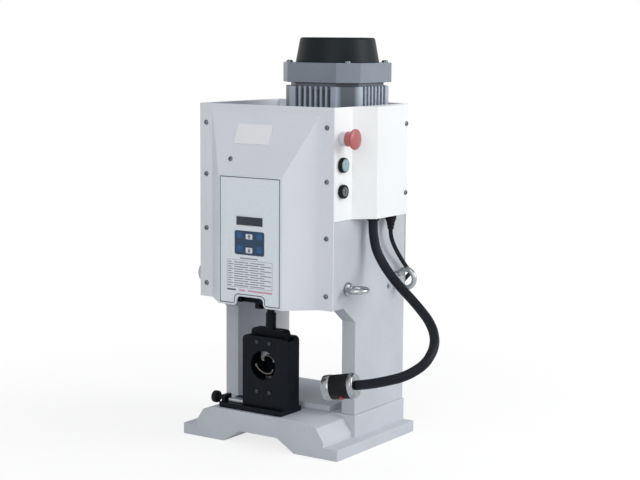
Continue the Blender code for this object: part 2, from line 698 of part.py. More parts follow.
def folded_sheet(name, walls, outward, finish_name):
    """A sheet-metal piece from its outer faces, thickened inwards. The first wall looks outward."""
    bm = bmesh.new()
    for wall in walls:
        bm.faces.new([bm.verts.new(point) for point in wall])
    bmesh.ops.remove_doubles(bm, verts=bm.verts, dist=MM / 100)
    sheet = make(name, bm, finish_name, outward=Vector(outward))
    gauge = sheet.modifiers.new("gauge", "SOLIDIFY")
    gauge.thickness = SHEET
    gauge.offset = -1
    gauge.use_even_offset = True
    return sheet


def strip(path, low, high):
    """Upright walls along a path of (x, y) points."""
    return [[(*a, low), (*b, low), (*b, high), (*a, high)] for a, b in zip(path, path[1:])]


def housing_shell():
    """The left wall with its front lip, and the rear wall down to the head's underside."""
    front = SHEET + GAP
    left = -HOUSING_HALF_WIDTH
    rear = HOUSING_REAR - SHEET
    back = block((left, HOUSING_HALF_WIDTH), (rear, HOUSING_REAR), (HEAD_BOTTOM, HOUSING_TOP))
    shell = make("housing_shell", back, "light grey paint")
    join = rear + SHEET / 2
    outline = [
        (-LIP_INNER, front), (-LIP_INNER, front + SHEET), (left + SHEET, front + SHEET), (left + SHEET, join),
        (left, join), (left, front),
    ]
    add(shell, prism(outline, "Z", BOX_BOTTOM, HOUSING_TOP))
    cut(shell, gathered([screw_hole(-COVER_SCREW_X, z) for z in COVER_SCREW_HEIGHTS[2:]]))


def screw_hole(x, z):
    return rod(SCREW_HOLE_RADIUS, -OVERRUN, SCREW_LENGTH, TINY_COUNT, "Y", (x, 0, z))


def side_box_cover():
    """The right wall, which flares out into the electrical box and holds the three controls."""
    front = SHEET + GAP
    wall = HOUSING_HALF_WIDTH
    reach = HOUSING_HALF_WIDTH + BOX_REACH
    flare_end = FLARE_START + BOX_REACH
    box = [(wall, FLARE_START), (reach, flare_end), (reach, BOX_REAR), (wall, BOX_REAR)]
    path = [(LIP_INNER, front), (wall, front), *box, (wall, LEG_REAR)]
    walls = strip(path, BOX_BOTTOM, HOUSING_TOP)
    floor = [(x, y, BOX_BOTTOM) for x, y in reversed(box)]
    lid = [(x, y, HOUSING_TOP) for x, y in box]
    cover = folded_sheet("side_box_cover", [*walls, floor, lid], (0, -1, 0), "white paint")
    holes = [screw_hole(COVER_SCREW_X, z) for z in COVER_SCREW_HEIGHTS[2:]]
    for z in (ESTOP_Z, START_Z, KEY_Z):
        place = (HOUSING_HALF_WIDTH, SWITCH_Y, z)
        holes.append(rod(SWITCH_BARREL_RADIUS + GAP, -OVERRUN, OVERRUN, SMALL_COUNT, "X", place))
    for z in BOX_SCREW_HEIGHTS:
        holes.append(rod(SCREW_HOLE_RADIUS, -OVERRUN, OVERRUN, TINY_COUNT, "X", (reach, BOX_SCREW_Y, z)))
    for x, y in ((HOSE_X, HOSE_Y), (CORD_X, CORD_Y)):
        place = (x, y, BOX_BOTTOM)
        holes.append(rod(SOCKET_STEM_RADIUS + GAP, -OVERRUN, OVERRUN, SMALL_COUNT, "Z", place))
    cut(cover, gathered(holes))


def notch_outline(margin, half_width, bottom):
    """The panel's lower edge from left to right, with its rounded notch, kept inside a margin."""
    half = NOTCH_HALF_WIDTH + margin
    top = HEAD_BOTTOM + NOTCH_HEIGHT + margin
    crown = NOTCH_RADIUS
    foot = NOTCH_RADIUS - margin
    left = [(-half_width, bottom)]
    left += arc((-half - foot, bottom + foot), foot, 270, 360, 3)
    left += arc((-half + crown, top - crown), crown, 180, 90, 3)
    return left + [(-x, z) for x, z in reversed(left)]


def front_cover():
    """A flange, two side slopes and a top slope round the flat panel, folded from one sheet."""
    wall = HOUSING_HALF_WIDTH
    y = -PANEL_DEPTH
    edge = notch_outline(0, PANEL_HALF_WIDTH, HEAD_BOTTOM)
    panel = [(x, y, z) for x, z in edge]
    panel += [(PANEL_HALF_WIDTH, y, PANEL_TOP), (-PANEL_HALF_WIDTH, y, PANEL_TOP)]
    faces = [panel]
    for side in (-1, 1):
        flange = [
            (side * wall, 0, HEAD_BOTTOM), (side * SLOPE_HALF_WIDTH, 0, HEAD_BOTTOM),
            (side * SLOPE_HALF_WIDTH, 0, SLOPE_TOP), (side * wall, 0, HOUSING_TOP),
        ]
        slope = [
            (side * SLOPE_HALF_WIDTH, 0, HEAD_BOTTOM), (side * PANEL_HALF_WIDTH, y, HEAD_BOTTOM),
            (side * PANEL_HALF_WIDTH, y, PANEL_TOP), (side * SLOPE_HALF_WIDTH, 0, SLOPE_TOP),
        ]
        faces += [item[::side] for item in (flange, slope)]
    faces.append([
        (-PANEL_HALF_WIDTH, y, PANEL_TOP), (PANEL_HALF_WIDTH, y, PANEL_TOP),
        (SLOPE_HALF_WIDTH, 0, SLOPE_TOP), (-SLOPE_HALF_WIDTH, 0, SLOPE_TOP),
    ])
    faces.append([
        (-SLOPE_HALF_WIDTH, 0, SLOPE_TOP), (SLOPE_HALF_WIDTH, 0, SLOPE_TOP),
        (wall, 0, HOUSING_TOP), (-wall, 0, HOUSING_TOP),
    ])
    cover = folded_sheet("front_cover", faces, (0, -1, 0), "light grey paint")
    holes = [screw_hole(side * COVER_SCREW_X, z) for side in (-1, 1) for z in COVER_SCREW_HEIGHTS]
    slope_screw = slope_point(SLOPE_SCREW_X, SLOPE_SCREW_Z)
    holes.append(rod(SCREW_HOLE_RADIUS, -OVERRUN, OVERRUN, TINY_COUNT, SLOPE_NORMAL, slope_screw))
    cut(cover, gathered(holes))


def slope_point(x, z):
    """A point on the outer face of the cover's top slope."""
    return Vector((x, (z - SLOPE_TOP) / SLOPE_RUN, z))


def panel_pieces():
    """The operator film with its display window, and the blank badge above."""
    half_width = PANEL_HALF_WIDTH - FILM_MARGIN
    bottom = HEAD_BOTTOM + FILM_MARGIN
    edge = notch_outline(FILM_MARGIN, half_width, bottom)
    outline = edge + [(half_width, PANEL_TOP - FILM_MARGIN), (-half_width, PANEL_TOP - FILM_MARGIN)]
    back = -PANEL_DEPTH - GAP
    front = back - FILM_THICKNESS
    make("panel_film", prism(outline, "Y", front, back), "grey film")

    back = front - GAP
    front = back - LABEL_THICKNESS
    half_x, half_z = DISPLAY_WIDTH / 2, DISPLAY_HEIGHT / 2
    window = block((-half_x, half_x), (front, back), (DISPLAY_Z - half_z, DISPLAY_Z + half_z))
    make("display_window", window, "display glass")

    badge = block(
        (-BADGE_WIDTH / 2, BADGE_WIDTH / 2), (-BADGE_HEIGHT / 2, BADGE_HEIGHT / 2),
        (GAP, GAP + LABEL_THICKNESS),
    )
    tilt = Matrix.Rotation(math.atan2(SLOPE_RUN, 1), 4, "X")
    seat = Matrix.Translation(slope_point(BADGE_X, BADGE_Z)) @ tilt
    bmesh.ops.transform(badge, matrix=seat, verts=badge.verts)
    make("badge_plate", badge, "blank white label")


def lifting_eye(side, y, flat):
    """A forged eye bolt: ring, collar and shank in one piece. flat lays its ring level."""
    seat = GAP
    profile = [
        (0, -EYE_SHANK_LENGTH), (EYE_SHANK_RADIUS, -EYE_SHANK_LENGTH), (EYE_SHANK_RADIUS, seat),
        (EYE_COLLAR_RADIUS, seat), (EYE_COLLAR_RADIUS, EYE_COLLAR_HEIGHT * 0.7),
        (EYE_NECK_RADIUS, EYE_COLLAR_HEIGHT), (EYE_BAR_RADIUS * 0.8, EYE_COLLAR_HEIGHT + EYE_BAR_RADIUS / 2),
        (0, EYE_COLLAR_HEIGHT + EYE_BAR_RADIUS / 2),
    ]
    body = make("eye_body", turned(profile, SMALL_COUNT), "zinc plate")
    outline = arc((EYE_RING_RADIUS, 0), EYE_BAR_RADIUS, 0, 360, 8)[:-1]
    ring = turned(outline, SMALL_COUNT, "Y", (0, 0, seat + EYE_HEIGHT - EYE_RING_RADIUS - EYE_BAR_RADIUS))
    shape = baked(add(body, ring))
    if flat:
        bmesh.ops.rotate(shape, verts=shape.verts, cent=(0, 0, 0), matrix=Matrix.Rotation(TURN / 4, 3, "Z"))
    aim = Matrix.Rotation(side * TURN / 4, 4, "Y")
    place = Matrix.Translation((side * FRAME_OUTER, y, EYE_Z))
    bmesh.ops.transform(shape, matrix=place @ aim, verts=shape.verts)
    return shape


def lifting_eyes():
    for hand, side in (("left", -1), ("right", 1)):
        for end, y in (("front", EYE_FRONT_Y), ("rear", EYE_REAR_Y)):
            eye = lifting_eye(side, y, flat=(hand, end) == ("right", "front"))
            make(f"{end}_{hand}_lifting_eye", eye, "zinc plate")


def head_block():
    """The casting between the frames, bored for the crankshaft and recessed for its cheek."""
    half = FRAME_INNER - GAP
    body = block((-half, half), (HEAD_FRONT, HEAD_REAR), (HEAD_BOTTOM, HEAD_TOP))
    head = make("head_block", body, "grey iron")
    centre = (0, 0, CRANK_HEIGHT)
    recess_depth = HEAD_FRONT + CHEEK_OFFSET + CHEEK_THICKNESS + RECESS_CLEARANCE / 2
    recess = rod(CHEEK_RADIUS + RECESS_CLEARANCE, HEAD_FRONT - OVERRUN, recess_depth, FINE_COUNT, "Y", centre)
    bore = rod(MAIN_BEARING_RADIUS, HEAD_FRONT, HEAD_REAR + OVERRUN, FINE_COUNT, "Y", centre)
    cut(head, recess, bore)
    starts = {
        "front_main_bearing": recess_depth + GAP,
        "rear_main_bearing": HEAD_REAR - GAP - MAIN_BEARING_WIDTH,
    }
    inner, outer = JOURNAL_RADIUS + GAP, MAIN_BEARING_RADIUS - GAP
    for name, start in starts.items():
        ring = tube(inner, outer, start, start + MAIN_BEARING_WIDTH, ROUND_COUNT, "Y", centre)
        make(name, ring, "ground steel")


def ram_parts():
    """The ram with its cross slot for the crank bearing, its two gibs and the hook for the die post."""
    front, rear = RAM_AXIS_Y - RAM_HALF_DEPTH, RAM_AXIS_Y + RAM_HALF_DEPTH
    ram = make(
        "ram_block", block((-RAM_HALF_WIDTH, RAM_HALF_WIDTH), (front, rear), (HEAD_BOTTOM, RAM_TOP)),
        "black oxide steel",
    )
    slot_half = CRANK_THROW + CRANK_BEARING_RADIUS + SLOT_SIDE_CLEARANCE
    slot_rise = CRANK_BEARING_RADIUS + SLOT_TOP_CLEARANCE
    slot = block(
        (-slot_half, slot_half), (front - OVERRUN, rear + OVERRUN),
        (PIN_HEIGHT - slot_rise, PIN_HEIGHT + slot_rise),
    )
    axis = (0, DIE_AXIS_Y, HEAD_BOTTOM)
    stem_bore = rod(HOOK_STEM_RADIUS + GAP, -OVERRUN, HOOK_STEM_LENGTH + GAP, SMALL_COUNT, "Z", axis)
    cut(ram, slot, stem_bore)

    for name, side in (("left_gib", -1), ("right_gib", 1)):
        run = RAM_HALF_WIDTH + GAP
        lip = run - GIB_LIP_REACH
        lip_back = front - GAP
        lip_front = lip_back - GIB_LIP_THICKNESS
        back = HEAD_FRONT - GAP
        outline = [
            (lip, lip_front), (GIB_OUTER, lip_front), (GIB_OUTER, back), (run, back), (run, lip_back),
            (lip, lip_back),
        ]
        outline = [(side * x, y) for x, y in outline]
        make(name, prism(outline, "Z", HEAD_BOTTOM, GIB_TOP), "black oxide steel")

    top = HEAD_BOTTOM - GAP
    bottom = top - HOOK_HEIGHT
    near, far = DIE_AXIS_Y - HOOK_HALF_DEPTH, DIE_AXIS_Y + HOOK_HALF_DEPTH
    hook = make(
        "ram_hook", block((-HOOK_HALF_WIDTH, HOOK_HALF_WIDTH), (near, far), (bottom, top)),
        "black oxide steel",
    )
    add(hook, rod(HOOK_STEM_RADIUS, -HOOK_HEIGHT / 4, HOOK_STEM_LENGTH, SMALL_COUNT, "Z", axis))
    neck = POST_NECK_RADIUS + GAP
    head = POST_HEAD_RADIUS + GAP
    floor = bottom + HOOK_FLOOR
    cut(
        hook,
        block((-neck, neck), (near - OVERRUN, DIE_AXIS_Y + neck), (bottom - OVERRUN, floor + GAP)),
        block(
            (-head, head), (near - OVERRUN, DIE_AXIS_Y + head),
            (floor, floor + POST_HEAD_HEIGHT + 2 * GAP),
        ),
    )


def crank_parts():
    """Crankshaft with its eccentric pin at the top, the pin's bearing ring and the worm wheel."""
    centre = (0, 0, CRANK_HEIGHT)
    cheek = HEAD_FRONT + CHEEK_OFFSET
    cheek_end = cheek + CHEEK_THICKNESS
    wheel_end = WHEEL_FRONT + WHEEL_WIDTH + WHEEL_HUB_LENGTH
    profile = [
        (0, cheek), (CHEEK_RADIUS, cheek), (CHEEK_RADIUS, cheek_end), (JOURNAL_RADIUS, cheek_end),
        (JOURNAL_RADIUS, HEAD_REAR - GAP), (WHEEL_SEAT_RADIUS, HEAD_REAR - GAP),
        (WHEEL_SEAT_RADIUS, wheel_end), (0, wheel_end),
    ]
    shaft = make("crankshaft", turned(profile, ROUND_COUNT, "Y", centre), "ground steel", origin=centre)
    pin_front = RAM_AXIS_Y - CRANK_BEARING_LENGTH / 2
    pin = rod(PIN_RADIUS, pin_front, cheek + CHEEK_THICKNESS / 2, SMALL_COUNT, "Y", (0, 0, PIN_HEIGHT))
    add(shaft, pin)

    bearing_end = pin_front + CRANK_BEARING_LENGTH
    pin_axis = (0, 0, PIN_HEIGHT)
    ring = tube(PIN_RADIUS + GAP, CRANK_BEARING_RADIUS, pin_front, bearing_end, ROUND_COUNT, "Y", pin_axis)
    make("crank_bearing", ring, "ground steel", origin=centre)

    root = WHEEL_RADIUS - WHEEL_TOOTH_DEPTH
    pitch = TURN / WHEEL_TEETH
    outline = []
    for tooth in range(WHEEL_TEETH):
        for radius, share in ((root, -0.36), (WHEEL_RADIUS, -0.16), (WHEEL_RADIUS, 0.16), (root, 0.36)):
            angle = (tooth + share) * pitch
            outline.append((radius * math.cos(angle), CRANK_HEIGHT + radius * math.sin(angle)))
    wheel = make(
        "worm_wheel", prism(outline, "Y", WHEEL_FRONT, WHEEL_FRONT + WHEEL_WIDTH), "bronze", origin=centre,
    )
    hub_start = WHEEL_FRONT - WHEEL_HUB_LENGTH
    add(wheel, rod(WHEEL_HUB_RADIUS, hub_start, wheel_end - GAP, ROUND_COUNT, "Y", centre))
    bore = (WHEEL_FRONT - WHEEL_HUB_LENGTH - OVERRUN, wheel_end + OVERRUN)
    cut(wheel, rod(WHEEL_SEAT_RADIUS + GAP, *bore, ROUND_COUNT, "Y", centre))


def gear_case():
    """The worm gear's case, open at its crankshaft bore and along the motor shaft."""
    room = WHEEL_RADIUS + CASE_CLEARANCE
    worm_room = WORM_RADIUS + CASE_SHAFT_CLEARANCE
    left = -room - CASE_WALL
    right = MOTOR_X + worm_room + CASE_WALL
    rear = WHEEL_FRONT + WHEEL_WIDTH + WHEEL_HUB_LENGTH + CASE_CLEARANCE + CASE_WALL
    low, high = CRANK_HEIGHT - room - CASE_WALL, CRANK_HEIGHT + room + CASE_WALL
    case = make("gear_case", block((left, right), (CASE_FRONT, rear), (low, high)), "cast aluminium")
    neck = (MOTOR_X, MOTOR_Y, 0)
    flange_low = HEAD_TOP + OVERRUN
    column = rod(MOTOR_Y - CASE_FRONT, high - OVERRUN, flange_low + OVERRUN, ROUND_COUNT, "Z", neck)
    add(case, column, rod(CASE_FLANGE_RADIUS, flange_low, MOTOR_BODY_BOTTOM - GAP, ROUND_COUNT, "Z", neck))
    centre = (0, 0, CRANK_HEIGHT)
    cavity = rod(room, CASE_FRONT + CASE_WALL, rear - CASE_WALL, FINE_COUNT, "Y", centre)
    wall = (CASE_FRONT - OVERRUN, CASE_FRONT + 2 * CASE_WALL)
    bore = rod(WHEEL_SEAT_RADIUS + CASE_CLEARANCE, *wall, SMALL_COUNT, "Y", centre)
    well = rod(worm_room, CRANK_HEIGHT - room, MOTOR_BODY_BOTTOM + OVERRUN, ROUND_COUNT, "Z", neck)
    cut(case, cavity, bore, well)


def worm_thread(facets):
    """The worm's thread: its radius swings between root and crest along a helix, on one closed skin."""
    bm = bmesh.new()
    rows = WORM_THREAD_COUNT * WORM_ROW_COUNT
    low = CRANK_HEIGHT - WORM_LENGTH / 2
    rings = []
    for row in range(rows + 1):
        height = low + WORM_LENGTH * row / rows
        ring = []
        for step in range(facets):
            turn = step / facets
            phase = (row / WORM_ROW_COUNT - turn) % 1
            crest = abs(phase * 2 - 1)
            share = min(1, max(0, crest * 2.4 - 0.7))
            radius = WORM_ROOT_RADIUS + (WORM_RADIUS - WORM_ROOT_RADIUS) * share
            angle = turn * TURN
            x, y = MOTOR_X + radius * math.cos(angle), MOTOR_Y + radius * math.sin(angle)
            ring.append(bm.verts.new((x, y, height)))
        rings.append(ring)
    for lower, upper in zip(rings, rings[1:]):
        for step in range(facets):
            after = (step + 1) % facets
            bm.faces.new((lower[step], lower[after], upper[after], upper[step]))
    bm.faces.new(rings[0][::-1])
    bm.faces.new(rings[-1])
    return bm


def motor_shaft():
    """One shaft from the fan down to the worm."""
    top = END_PLATE_TOP + FAN_LIFT + FAN_HEIGHT + FAN_LIFT / 2
    worm_top = CRANK_HEIGHT + WORM_LENGTH / 2
    bottom = CRANK_HEIGHT - WORM_LENGTH / 2 - OVERRUN
    place = (MOTOR_X, MOTOR_Y, 0)
    profile = [
        (0, bottom), (WORM_ROOT_RADIUS * 0.9, bottom), (WORM_ROOT_RADIUS * 0.9, worm_top + OVERRUN),
        (SHAFT_RADIUS, worm_top + OVERRUN), (SHAFT_RADIUS, top), (0, top),
    ]
    shaft = make("motor_shaft", turned(profile, SMALL_COUNT, "Z", place), "ground steel", origin=place)
    add(shaft, worm_thread(2 * WORM_ROW_COUNT))


def finned_outline():
    """A chamfered square with upright fins on its four flats."""
    span = FIN_PITCH * (FIN_COUNT - 1) / 2
    valley = MOTOR_BODY_HALF - FIN_DEPTH
    side = []
    for index in range(FIN_COUNT - 1):
        edge = -span + FIN_PITCH * index + FIN_THICKNESS / 2
        far = -span + FIN_PITCH * (index + 1) - FIN_THICKNESS / 2
        side += [(MOTOR_BODY_HALF, edge), (valley, edge), (valley, far), (MOTOR_BODY_HALF, far)]
    corner = MOTOR_BODY_HALF - MOTOR_BODY_CHAMFER
    side = [(MOTOR_BODY_HALF, -corner), *side, (MOTOR_BODY_HALF, corner)]
    outline = []
    for quarter in range(4):
        cosine, sine = round(math.cos(quarter * TURN / 4)), round(math.sin(quarter * TURN / 4))
        outline += [(MOTOR_X + x * cosine - y * sine, MOTOR_Y + x * sine + y * cosine) for x, y in side]
    return outline


def shifted(outline):
    return [(MOTOR_X + x, MOTOR_Y + y) for x, y in outline]


def motor():
    """Finned body, end plate, fan cover with a slotted top, and the fan."""
    place = (MOTOR_X, MOTOR_Y, 0)
    fins = prism(finned_outline(), "Z", MOTOR_BODY_BOTTOM, MOTOR_BODY_TOP)
    body = make("motor_body", fins, "cast aluminium")
    neck_top = MOTOR_BODY_TOP + MOTOR_NECK_HEIGHT
    neck = shifted(chamfered_square(MOTOR_NECK_HALF, MOTOR_BODY_CHAMFER))
    add(body, prism(neck, "Z", MOTOR_BODY_TOP - OVERRUN, neck_top))
    bore = SHAFT_RADIUS + SHAFT_CLEARANCE
    cut(body, rod(bore, MOTOR_BODY_BOTTOM - OVERRUN, neck_top + OVERRUN, SMALL_COUNT, "Z", place))

    corner = shifted(chamfered_square(END_PLATE_HALF, MOTOR_BODY_CHAMFER))
    plate = make("motor_end_plate", prism(corner, "Z", END_PLATE_BOTTOM, END_PLATE_TOP), "cast aluminium")
    cut(plate, rod(bore, END_PLATE_BOTTOM - OVERRUN, END_PLATE_TOP + OVERRUN, SMALL_COUNT, "Z", place))
    spots = [
        (MOTOR_X + x, MOTOR_Y + y, END_PLATE_TOP)
        for x in (-MOTOR_SCREW_OFFSET, MOTOR_SCREW_OFFSET)
        for y in (-MOTOR_SCREW_OFFSET, MOTOR_SCREW_OFFSET)
    ]
    drill = (SCREW_HOLE_RADIUS, -SCREW_LENGTH, OVERRUN, TINY_COUNT)
    cut(plate, gathered([rod(*drill, "Z", spot) for spot in spots]))

    low = END_PLATE_TOP + GAP
    high = low + FAN_COVER_HEIGHT
    wall = FAN_COVER_WALL
    profile = [
        (FAN_COVER_BOTTOM_RADIUS, low), (FAN_COVER_TOP_RADIUS, high - FAN_COVER_EDGE),
        (FAN_COVER_TOP_RADIUS - FAN_COVER_EDGE, high), (0, high), (0, high - wall),
        (FAN_COVER_TOP_RADIUS - FAN_COVER_EDGE - wall, high - wall), (FAN_COVER_BOTTOM_RADIUS - wall, low),
    ]
    cover = make("fan_cover", turned_shell(profile, FINE_COUNT, place), "black plastic")
    slots = []
    for index in range(GRILLE_SLOTS):
        slot = block(
            (GRILLE_INNER_RADIUS, GRILLE_OUTER_RADIUS), (-GRILLE_SLOT_WIDTH / 2, GRILLE_SLOT_WIDTH / 2),
            (high - wall - OVERRUN, high + OVERRUN),
        )
        turn = Matrix.Rotation(index * TURN / GRILLE_SLOTS, 4, "Z")
        bmesh.ops.transform(slot, matrix=Matrix.Translation(place) @ turn, verts=slot.verts)
        slots.append(slot)
    cut(cover, gathered(slots))

    base = END_PLATE_TOP + FAN_LIFT
    blades = []
    for index in range(FAN_BLADES):
        blade = block(
            (FAN_HUB_RADIUS - FAN_BLADE_THICKNESS, FAN_RADIUS),
            (-FAN_BLADE_THICKNESS / 2, FAN_BLADE_THICKNESS / 2),
            (base + FAN_BLADE_THICKNESS / 2, base + FAN_HEIGHT - FAN_BLADE_THICKNESS / 2),
        )
        turn = Matrix.Rotation(index * TURN / FAN_BLADES, 4, "Z")
        bmesh.ops.transform(blade, matrix=Matrix.Translation(place) @ turn, verts=blade.verts)
        blades.append(blade)
    hub = tube(SHAFT_RADIUS + GAP, FAN_HUB_RADIUS, base, base + FAN_HEIGHT, SMALL_COUNT, "Z", place)
    fan = make("cooling_fan", hub, "black plastic", origin=place)
    add(fan, gathered(blades))


def turned_shell(profile, facets, place):
    """A turned shape whose profile leaves the axis and comes back to it, so that it is a shell."""
    bm = bmesh.new()
    points = [bm.verts.new((radius, 0, height)) for radius, height in profile]
    for first, second in zip(points, points[1:] + points[:1]):
        if first.co.x > 0 or second.co.x > 0:
            bm.edges.new((first, second))
    bmesh.ops.spin(
        bm, geom=bm.verts[:] + bm.edges[:], axis=(0, 0, 1), cent=(0, 0, 0), steps=facets, angle=TURN,
    )
    bmesh.ops.remove_doubles(bm, verts=bm.verts, dist=MM / 1000)
    return laid(bm, "Z", place)


def controls():
    """Emergency stop, lit start button and key switch, each with its barrel through the wall."""
    wall = HOUSING_HALF_WIDTH + GAP
    barrel = wall - GAP - SHEET - SWITCH_BARREL_LENGTH
    stem_end = barrel + STEM_END_INSET
    stem_bore = STEM_RADIUS + GAP

    place = (0, SWITCH_Y, ESTOP_Z)
    front = wall + ESTOP_COLLAR_LENGTH
    collar = [
        (stem_bore, barrel), (SWITCH_BARREL_RADIUS, barrel), (SWITCH_BARREL_RADIUS, wall),
        (ESTOP_COLLAR_RADIUS, wall), (ESTOP_COLLAR_RADIUS, front), (stem_bore, front),
    ]
    make("estop_collar", turned(collar, ROUND_COUNT, "X", place), "grey plastic")
    skirt = wall + ESTOP_SKIRT_START
    cup = skirt + ESTOP_SKIRT_LENGTH
    flare = cup + ESTOP_FLARE_LENGTH
    rim = flare + ESTOP_RIM
    stem_top = cup + ESTOP_FLARE_LENGTH / 2
    stem = rod(STEM_RADIUS, stem_end, stem_top, SMALL_COUNT, "X", place)
    make("estop_stem", stem, "ground steel", origin=place)
    head = [
        (ESTOP_COLLAR_RADIUS + GAP, skirt), (ESTOP_SKIRT_RADIUS, skirt), (ESTOP_SKIRT_RADIUS, cup),
        (ESTOP_HEAD_RADIUS, flare), (ESTOP_HEAD_RADIUS, rim),
        (ESTOP_HEAD_RADIUS * 0.72, rim + ESTOP_DOME * 0.75),
        (ESTOP_HEAD_RADIUS * 0.36, rim + ESTOP_DOME), (0, rim + ESTOP_DOME), (0, stem_top + GAP),
        (stem_bore, stem_top + GAP), (stem_bore, cup), (ESTOP_COLLAR_RADIUS + GAP, cup),
    ]
    make("estop_head", turned(head, ROUND_COUNT, "X", place), "red plastic", origin=place)

    place = (0, SWITCH_Y, START_Z)
    front = wall + START_RING_LENGTH
    floor = front - START_CAP_DEPTH - START_TRAVEL
    ring = [
        (stem_bore, barrel), (SWITCH_BARREL_RADIUS, barrel), (SWITCH_BARREL_RADIUS, wall),
        (START_RING_RADIUS, wall), (START_RING_RADIUS, front), (START_CAP_RADIUS + GAP, front),
        (START_CAP_RADIUS + GAP, floor), (stem_bore, floor),
    ]
    make("start_button_ring", turned(ring, ROUND_COUNT, "X", place), "black plastic")
    cap = [
        (0, stem_end), (STEM_RADIUS, stem_end), (STEM_RADIUS, front - START_CAP_DEPTH),
        (START_CAP_RADIUS, front - START_CAP_DEPTH), (START_CAP_RADIUS, front),
        (START_CAP_RADIUS * 0.9, front + START_CAP_PROUD), (0, front + START_CAP_PROUD),
    ]
    make("start_button_cap", turned(cap, ROUND_COUNT, "X", place), "green lens", origin=place)

    place = (0, SWITCH_Y, KEY_Z)
    front = wall + KEY_BODY_LENGTH
    seat = front + GAP - KEY_CYLINDER_LENGTH
    body = [
        (0, barrel), (SWITCH_BARREL_RADIUS, barrel), (SWITCH_BARREL_RADIUS, wall), (KEY_BODY_RADIUS, wall),
        (KEY_BODY_RADIUS, front), (KEY_CYLINDER_RADIUS + GAP, front), (KEY_CYLINDER_RADIUS + GAP, seat - GAP),
        (0, seat - GAP),
    ]
    make("key_switch_body", turned(body, ROUND_COUNT, "X", place), "black plastic")
    face = seat + KEY_CYLINDER_LENGTH
    cylinder = make(
        "key_cylinder", rod(KEY_CYLINDER_RADIUS, seat, face, ROUND_COUNT, "X", place), "grey plastic",
        origin=place,
    )
    half_y, half_z = KEYWAY_WIDTH / 2, KEYWAY_LENGTH / 2
    keyway = block(
        (face - KEYWAY_DEPTH, face + OVERRUN), (SWITCH_Y - half_y, SWITCH_Y + half_y),
        (KEY_Z - half_z, KEY_Z + half_z),
    )
    cut(cylinder, keyway)

    back = barrel - GAP
    half = SWITCH_BLOCK_HALF
    for name, z in (("estop_contacts", ESTOP_Z), ("start_contacts", START_Z), ("key_contacts", KEY_Z)):
        x = (back - SWITCH_BLOCK_LENGTH, back)
        body = block(x, (SWITCH_Y - half, SWITCH_Y + half), (z - half, z + half))
        contacts = make(name, body, "grey plastic")
        if z != KEY_Z:
            place = (0, SWITCH_Y, z)
            depth = back - 2 * ESTOP_TRAVEL
            cut(contacts, rod(SWITCH_CUP_RADIUS, depth, back + OVERRUN, SMALL_COUNT, "X", place))


def control_board():
    """The circuit board on four standoffs behind the panel, with its relays."""
    back = -PANEL_DEPTH + SHEET + GAP
    front = back + BOARD_STANDOFF
    half = BOARD_WIDTH / 2
    board = make(
        "control_board",
        block((-half, half), (front, front + BOARD_THICKNESS), (BOARD_BOTTOM, BOARD_TOP)),
        "green board",
    )
    inset = 3 * BOARD_STANDOFF_RADIUS
    posts = []
    for x in (-half + inset, half - inset):
        for z in (BOARD_BOTTOM + inset, BOARD_TOP - inset):
            end = front + BOARD_THICKNESS / 2
            posts.append(rod(BOARD_STANDOFF_RADIUS, back, end, TINY_COUNT, "Y", (x, 0, z)))
    relays = []
    step = 1.5 * RELAY_SIZE
    for index in range(4):
        z = BOARD_BOTTOM + inset + RELAY_SIZE + index * step
        x = (index - 1.5) * RELAY_SIZE
        low = front + BOARD_THICKNESS / 2
        width = (x - RELAY_SIZE / 2, x + RELAY_SIZE / 2)
        relays.append(block(width, (low, low + RELAY_HEIGHT), (z, z + RELAY_SIZE)))
    add(board, gathered(posts + relays))


def box_fitting(name, x, y, below, finish_name):
    """A fitting under the side box: what hangs below its floor, and the stem and nut inside."""
    top = BOX_BOTTOM + SHEET
    inside = [
        (SOCKET_STEM_RADIUS, BOX_BOTTOM - GAP), (SOCKET_STEM_RADIUS, top + GAP),
        (SOCKET_NUT_RADIUS, top + GAP), (SOCKET_NUT_RADIUS, top + GAP + SOCKET_NUT_HEIGHT),
        (SOCKET_STEM_RADIUS, top + GAP + SOCKET_NUT_HEIGHT),
        (SOCKET_STEM_RADIUS, top + SOCKET_STEM_TOP), (0, top + SOCKET_STEM_TOP),
    ]
    make(name, turned([*below, *inside], SMALL_COUNT, "Z", (x, y, 0)), finish_name)


def knurled(profile_radius, low, high, inner, count, depth):
    """A ring with a coarse knurl: a star outline drawn along the axis, with a bore if inner is given."""
    outer = []
    for index in range(count * 2):
        radius = profile_radius - depth * (index % 2)
        angle = index * TURN / (count * 2)
        outer.append((radius * math.cos(angle), radius * math.sin(angle)))
    ring = make("knurled_ring", prism(outer, "Z", low, high), "zinc plate")
    if inner:
        cut(ring, rod(inner, low - OVERRUN, high + OVERRUN, ROUND_COUNT))
    return baked(ring)


